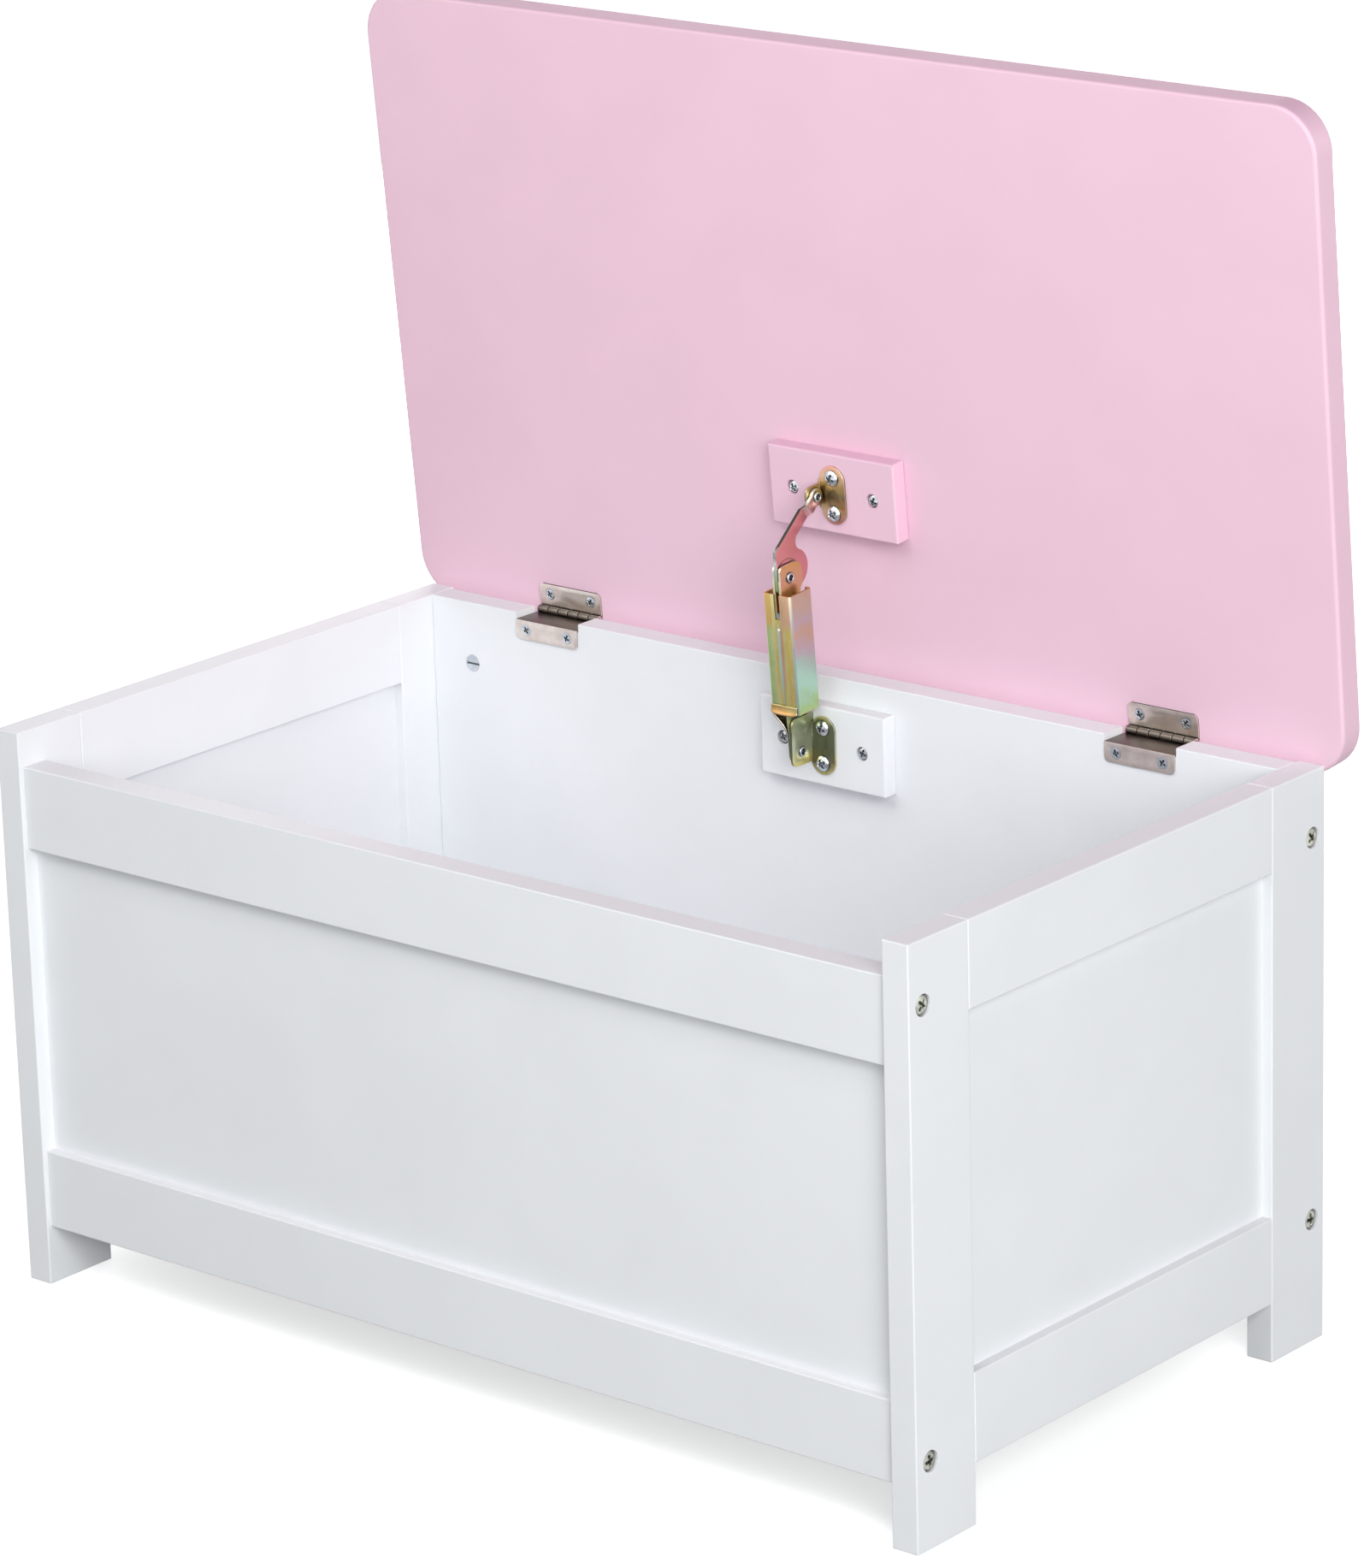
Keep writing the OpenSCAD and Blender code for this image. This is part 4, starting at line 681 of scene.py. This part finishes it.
def rivetMesh(nodeName):
    # its outline: radius and place along X from the domed end to the rolled one, in mm
    low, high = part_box(nodeName)
    start, end = low.x * 1000, high.x * 1000
    head, rim, shank = rivetShape["headRadius"], rivetShape["headHeight"], rivetShape["shankRadius"]
    hollow, bottom = rivetShape["hollowRadius"], end - rivetShape["hollowDepth"]
    outline = [(head * wide, start + rim * deep) for wide, deep in rivetShape["dome"]]
    outline += [(shank, start + rim), (shank, end - rim)]
    outline += [(head * wide, end - rim * deep) for wide, deep in rivetShape["ring"]]
    outline += [(hollow * wide, end - rim * deep) for wide, deep in rivetShape["mouth"]]
    outline += [(hollow * rivetShape["hollowTaper"], bottom), (0, bottom - rivetShape["hollowPoint"])]
    form = bmesh.new()
    middleY, middleZ = (low.y + high.y) / 2, (low.z + high.z) / 2
    rings = []
    for radius, along in outline:
        ring = []
        for step in range(rivetShape["steps"] if radius > 0 else 1):
            angle = 2 * pi * step / rivetShape["steps"]
            ring.append(form.verts.new((along / 1000, middleY + radius * cos(angle) / 1000,
                                        middleZ + radius * sin(angle) / 1000)))
        rings.append(ring)
    joinRings(form, rings)
    return smoothMesh(nodeName + "Turned", form)


for nodeName, body in rivetShape["bodies"].items():
    addPiece(nodeName + "_turned", rivetMesh(nodeName), rivetZinc, body, nodeName)

# Screws and bolts: a domed or flat head with a cross recess, and a ridged shank
lidShort = radians(5)        # how far the open lid stands short of upright
outOfChest = (0, -1, 0)
outOfLid = (0, -cos(lidShort), -sin(lidShort))
screwShape = {
    "steps": 40,             # round the head
    "rings": 18,             # from its middle to its rim
    "domeCurve": 2.4,        # the higher, the flatter the middle of a domed head
    "flatBelow": 0.5,        # mm of dome, under which the head is countersunk
    "crossReach": 0.6,       # of the head's radius, as the next three
    "crossWidth": 0.14,
    "crossDepth": 0.55,
    "crossSoftness": 0.05,
    "crossRise": 0.55,       # of its depth, at the ends of its arms
    "ridge": 1.0,            # mm from a ridge of the shank to the next groove
    "ridgeWide": 0.95,       # of the shank's radius, as the next one
    "grooveWide": 0.72,
    "firstTurn": 0.5,        # radians, how far the cross of the first screw is turned
    "nextTurn": 0.7,         # and each further one past the one before
    # head radius, head height, dome, shank radius, length and lift out of the node's own place, in mm
    "sizes": {
        "bolt": (5.15, 1.6, 1.0, 3.0, None, 1.3),     # as long as the node's own
        "hinge": (3.3, 1.5, 0.2, 1.5, 11, 0.25),
        "bracket": (4.3, 0.7, 1.8, 1.75, 7.9, 0.0),
        "block": (3.8, 0.8, 1.2, 1.75, 18, 0.5),
    },
    # node: size, body and the way its heads look, which for the bolts is outwards on either side
    "nodes": {
        "side_bolts": ("bolt", "chest", None),
        "box_hinge_screws": ("hinge", "chest", outOfChest), "lid_hinge_screws": ("hinge", "lid", outOfLid),
        "box_bracket_screws": ("bracket", "chest", outOfChest),
        "lid_bracket_screws": ("bracket", "lid", outOfLid),
        "box_block_screws": ("block", "chest", outOfChest), "lid_block_screws": ("block", "lid", outOfLid),
    },
}


def looseParts(mesh):
    # the separate solids of a mesh, each as a list of its corners in mm
    form = bmesh.new()
    form.from_mesh(mesh)
    bmesh.ops.remove_doubles(form, verts=form.verts, dist=stamping["weld"])
    seenVerts, parts = set(), []
    for vert in form.verts:
        if vert in seenVerts:
            continue
        reached, front = [], [vert]
        seenVerts.add(vert)
        while front:
            here = front.pop()
            reached.append(here.co.copy() * 1000)
            for edge in here.link_edges:
                other = edge.other_vert(here)
                if other not in seenVerts:
                    seenVerts.add(other)
                    front.append(other)
        parts.append(reached)
    form.free()
    return parts


def crossRecess(x, y, radius):
    # how deep the recess is at a place on the head
    reach, wide = screwShape["crossReach"] * radius, screwShape["crossWidth"] * radius
    soft = screwShape["crossSoftness"] * radius
    near, far = min(abs(x), abs(y)), max(abs(x), abs(y))
    inArm = min(max((wide - near) / soft + 0.5, 0), 1) * min(max((reach - far) / soft + 0.5, 0), 1)
    return inArm * screwShape["crossDepth"] * radius * (1 - screwShape["crossRise"] * far / reach)


def screwRings(form, top, away, spin, radius, rimHeight, dome, shank, length):
    # top: middle of the head's top; away: the way the head looks; seat: its underside, along that way
    turn = Vector((0, 0, 1)).rotation_difference(away).to_matrix() @ Matrix.Rotation(spin, 3, "Z")
    steps = screwShape["steps"]
    seat = -(rimHeight + dome)
    outline = []             # radius, place along the screw, and whether the cross cuts it
    for ring in range(screwShape["rings"] + 1):
        share = ring / screwShape["rings"]
        outline.append((radius * share, -dome * share ** screwShape["domeCurve"], True))
    if dome >= screwShape["flatBelow"]:
        outline.append((radius, seat, False))
    outline.append((shank, seat, False))
    along, onRidge = seat, False
    while along - screwShape["ridge"] > seat - length + 2 * shank:
        along -= screwShape["ridge"]
        outline.append((shank * screwShape["ridgeWide" if onRidge else "grooveWide"], along, False))
        onRidge = not onRidge
    outline.append((0, seat - length, False))
    rings = []
    for r, z, onTop in outline:
        ring = []
        for step in range(steps if r > 0 else 1):
            angle = 2 * pi * step / steps
            x, y = r * cos(angle), r * sin(angle)
            place = Vector((x, y, z - (crossRecess(x, y, radius) if onTop else 0)))
            ring.append(form.verts.new((top + turn @ place) / 1000))
        rings.append(ring)
    return rings


for nodeName, (size, body, look) in screwShape["nodes"].items():
    radius, rimHeight, dome, shank, length, lift = screwShape["sizes"][size]
    form = bmesh.new()
    for count, corners in enumerate(looseParts(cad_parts[nodeName].data)):
        lows = [min(c[axis] for c in corners) for axis in range(3)]
        highs = [max(c[axis] for c in corners) for axis in range(3)]
        middle = Vector([(a + b) / 2 for a, b in zip(lows, highs)])
        away = Vector(look or (1 if middle.x > 0 else -1, 0, 0))
        reach = max((c - middle).dot(away) for c in corners)
        joinRings(form, screwRings(form, middle + away * (reach + lift), away,
                                   screwShape["firstTurn"] + screwShape["nextTurn"] * count, radius,
                                   rimHeight, dome, shank, length or 2 * reach + lift - rimHeight - dome))
    mesh = smoothMesh(nodeName + "Cut", form, stamping["sharpFrom"])
    addPiece(nodeName + "_cut", mesh, finishOf[nodeName], body, nodeName)
print("screws cut:", len(screwShape["nodes"]), "kinds")


def sheetPiece(name, rows, thick):
    # sheet metal through rows of places: given its thickness in mm, with its edges rounded
    form = bmesh.new()
    grid = [[form.verts.new(place) for place in row] for row in rows]
    for low, high in zip(grid, grid[1:]):
        for n in range(len(low) - 1):
            form.faces.new((low[n], low[n + 1], high[n + 1], high[n]))
    bmesh.ops.recalc_face_normals(form, faces=form.faces)
    piece = addPiece(name, smoothMesh(name + "Sheet", form), plateZinc["housing_neck"], "stay_spring_housing")
    solid = piece.modifiers.new("thickness", "SOLIDIFY")
    solid.thickness = thick / 1000
    solid.offset = 0.0
    edges = piece.modifiers.new("edges", "BEVEL")
    edges.width = foot["edgeRound"] / 1000
    edges.segments = foot["edgeSegments"]
    edges.limit_method = "ANGLE"
    edges.angle_limit = radians(foot["edgeFrom"])


shares = [step / foot["steps"] for step in range(foot["steps"] + 1)]
lipRows = []
for y, z, endRise in foot["lip"]:
    row = []
    for share in shares:
        end = abs(2 * share - 1) ** foot["lipEnds"]
        row.append(fromFoot(foot["lipFrom"] + (foot["lipTo"] - foot["lipFrom"]) * share,
                            y + end * (foot["lipWall"] - y) * foot["lipReturn"], z + end * endRise))
    lipRows.append(row)
sheetPiece("housing_lip", lipRows, foot["lipThick"])
neckRows = [[fromFoot(x, half * (2 * share - 1), z) for share in shares] for x, z, half in foot["neck"]]
sheetPiece("housing_neck", neckRows, foot["neckThick"])
print("housing's foot formed")

# Coil spring in the housing
coil = {
    "foot": (-0.00805, 0.122861, 0.307402),   # middle of its lower end, on the strap's shoulder
    "length": 0.0468,
    "lean": 4.6,             # degrees, with the housing
    "meanRadius": 0.0058,
    "wireRadius": 0.0005,
    "wireSteps": 3,
    "turns": 15,
    "stepsPerTurn": 24,
}
coilCurve = bpy.data.curves.new("coilCurve", "CURVE")
coilCurve.dimensions = "3D"
coilCurve.bevel_depth = coil["wireRadius"]
coilCurve.bevel_resolution = coil["wireSteps"]
coilCurve.use_fill_caps = True
wire = coilCurve.splines.new("POLY")
steps = coil["turns"] * coil["stepsPerTurn"]
wire.points.add(steps)
leanBack = radians(coil["lean"])
for step in range(steps + 1):
    angle = 2 * pi * step / coil["stepsPerTurn"]
    climb = coil["wireRadius"] + (coil["length"] - 2 * coil["wireRadius"]) * step / steps
    x = coil["meanRadius"] * cos(angle)
    y = coil["meanRadius"] * sin(angle)
    wire.points[step].co = (coil["foot"][0] + x, coil["foot"][1] + y * cos(leanBack) - climb * sin(leanBack),
                            coil["foot"][2] + y * sin(leanBack) + climb * cos(leanBack), 1)
coilCurve.materials.append(springSteel)
coilSpring = bpy.data.objects.new("stay_coil_spring", coilCurve)
bpy.context.scene.collection.objects.link(coilSpring)
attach(coilSpring, "stay_spring_housing")
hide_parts("stay_spring")
print("coil spring wound:", coil["turns"], "turns")

# Camera at the photograph's angle
cameraView = {
    "place": (2.047099, -2.38773, 1.277863),   # metres
    "right": (0.767036, 0.641026, -0.027231),  # the picture's right and its down in the shared frame
    "down": (0.17202, -0.246353, -0.953792),
    "lens": 144.109,         # mm, on a sensor of the height below
    "sensorHeight": 36,
    "farthest": 50,          # metres
}
camera = bpy.data.objects.new("camera", bpy.data.cameras.new("camera"))
bpy.context.scene.collection.objects.link(camera)
camera.data.sensor_fit = "VERTICAL"
camera.data.sensor_height = cameraView["sensorHeight"]
camera.data.lens = cameraView["lens"]
camera.data.clip_end = cameraView["farthest"]
right = Vector(cameraView["right"]).normalized()
up = -Vector(cameraView["down"])
up = (up - up.dot(right) * right).normalized()
turn = Matrix((right, up, right.cross(up))).transposed().to_4x4()
camera.matrix_world = Matrix.Translation(cameraView["place"]) @ turn
bpy.context.scene.camera = camera

# Floor and light
studio = {
    "floorHalf": 6.0,        # metres
    "floorHex": "#f4f4f4",
    "bounceHex": "#a8a8a8",  # how much of the light the paper gives back to the object
    "glowNear": 0.55,        # added to the paper beside the object, 1 far from it
    "fadeStart": 0.5,        # metres from the object's middle
    "fadeEnd": 2.2,
    "worldLevel": 0.1,
    "lampAim": (0, 0, 0.3),
    "lamps": {               # name: place in metres, watts, width in metres
        "broadFront": ((2.6, -2.0, 1.5), 88.0, 2.2),
        "nearHigh": ((0.2, -1.0, 1.7), 10.7, 1.2),
        "nearLeft": ((-1.0, -0.9, 1.5), 6.6, 1.2),
        "rightSide": ((2.4, 0.3, 0.9), 7.5, 1.6),
        "lowBack": ((-1.7, 2.4, 0.55), 64.0, 2.0),
    },
}
floorMesh = bpy.data.meshes.new("floor")
half = studio["floorHalf"]
floorCorners = [(-half, -half, 0), (half, -half, 0), (half, half, 0), (-half, half, 0)]
floorMesh.from_pydata(floorCorners, [], [(0, 1, 2, 3)])
floor = bpy.data.objects.new("floor", floorMesh)
bpy.context.scene.collection.objects.link(floor)


def seenOutright(owner):
    # 1 for the camera and for what mirrors and glass show, 0 for the light that reaches the object
    seen = addNode(owner, "ShaderNodeLightPath")
    seenStraight = addNode(owner, "ShaderNodeMath", {"operation": "MAXIMUM"},
                           {0: seen.outputs["Is Camera Ray"], 1: seen.outputs["Is Glossy Ray"]})
    seenAny = addNode(owner, "ShaderNodeMath", {"operation": "MAXIMUM"},
                      {0: seenStraight.outputs["Value"], 1: seen.outputs["Is Transmission Ray"]})
    return seenAny.outputs["Value"]


# matt white paper: the camera and reflections see it white, fading up to full white away from the object
floorPaint = newMaterial("mattWhitePaperSweep")
where = addNode(floorPaint, "ShaderNodeTexCoord")
away = addNode(floorPaint, "ShaderNodeVectorMath", {"operation": "LENGTH"}, {0: where.outputs["Object"]})
fade = addNode(floorPaint, "ShaderNodeMapRange",
               {"From Min": studio["fadeStart"], "From Max": studio["fadeEnd"],
                "To Min": studio["glowNear"], "To Max": 1.0}, {"Value": away.outputs["Value"]})
bounce = addNode(floorPaint, "ShaderNodeBsdfDiffuse", {"Color": toLinear(studio["bounceHex"])})
shown = addNode(floorPaint, "ShaderNodeBsdfDiffuse", {"Color": toLinear(studio["floorHex"])})
glow = addNode(floorPaint, "ShaderNodeEmission", {"Color": (1, 1, 1, 1)},
               {"Strength": fade.outputs["Result"]})
lit = addNode(floorPaint, "ShaderNodeAddShader", None,
              {0: shown.outputs["BSDF"], 1: glow.outputs["Emission"]})
choice = addNode(floorPaint, "ShaderNodeMixShader", None,
                 {0: seenOutright(floorPaint), 1: bounce.outputs["BSDF"], 2: lit.outputs["Shader"]})
addNode(floorPaint, "ShaderNodeOutputMaterial", None, {"Surface": choice.outputs["Shader"]})
floorMesh.materials.append(floorPaint)

world = bpy.data.worlds.new("studioWorld")
bpy.context.scene.world = world
world.use_nodes = True
world.node_tree.nodes.clear()
level = addNode(world, "ShaderNodeMapRange", {"To Min": studio["worldLevel"], "To Max": 1.0},
                {"Value": seenOutright(world)})
sky = addNode(world, "ShaderNodeBackground", {"Color": (1, 1, 1, 1)}, {"Strength": level.outputs["Result"]})
addNode(world, "ShaderNodeOutputWorld", None, {"Surface": sky.outputs["Background"]})

for lampName, (place, power, width) in studio["lamps"].items():
    lamp = bpy.data.lights.new(lampName, "AREA")
    lamp.shape = "DISK"
    lamp.size = width
    lamp.energy = power
    holder = bpy.data.objects.new(lampName, lamp)
    bpy.context.scene.collection.objects.link(holder)
    holder.location = place
    aim = Vector(studio["lampAim"]) - Vector(place)
    holder.rotation_euler = aim.to_track_quat("-Z", "Y").to_euler()
bpy.context.scene.view_settings.view_transform = "Standard"
print("camera, floor and lights set")
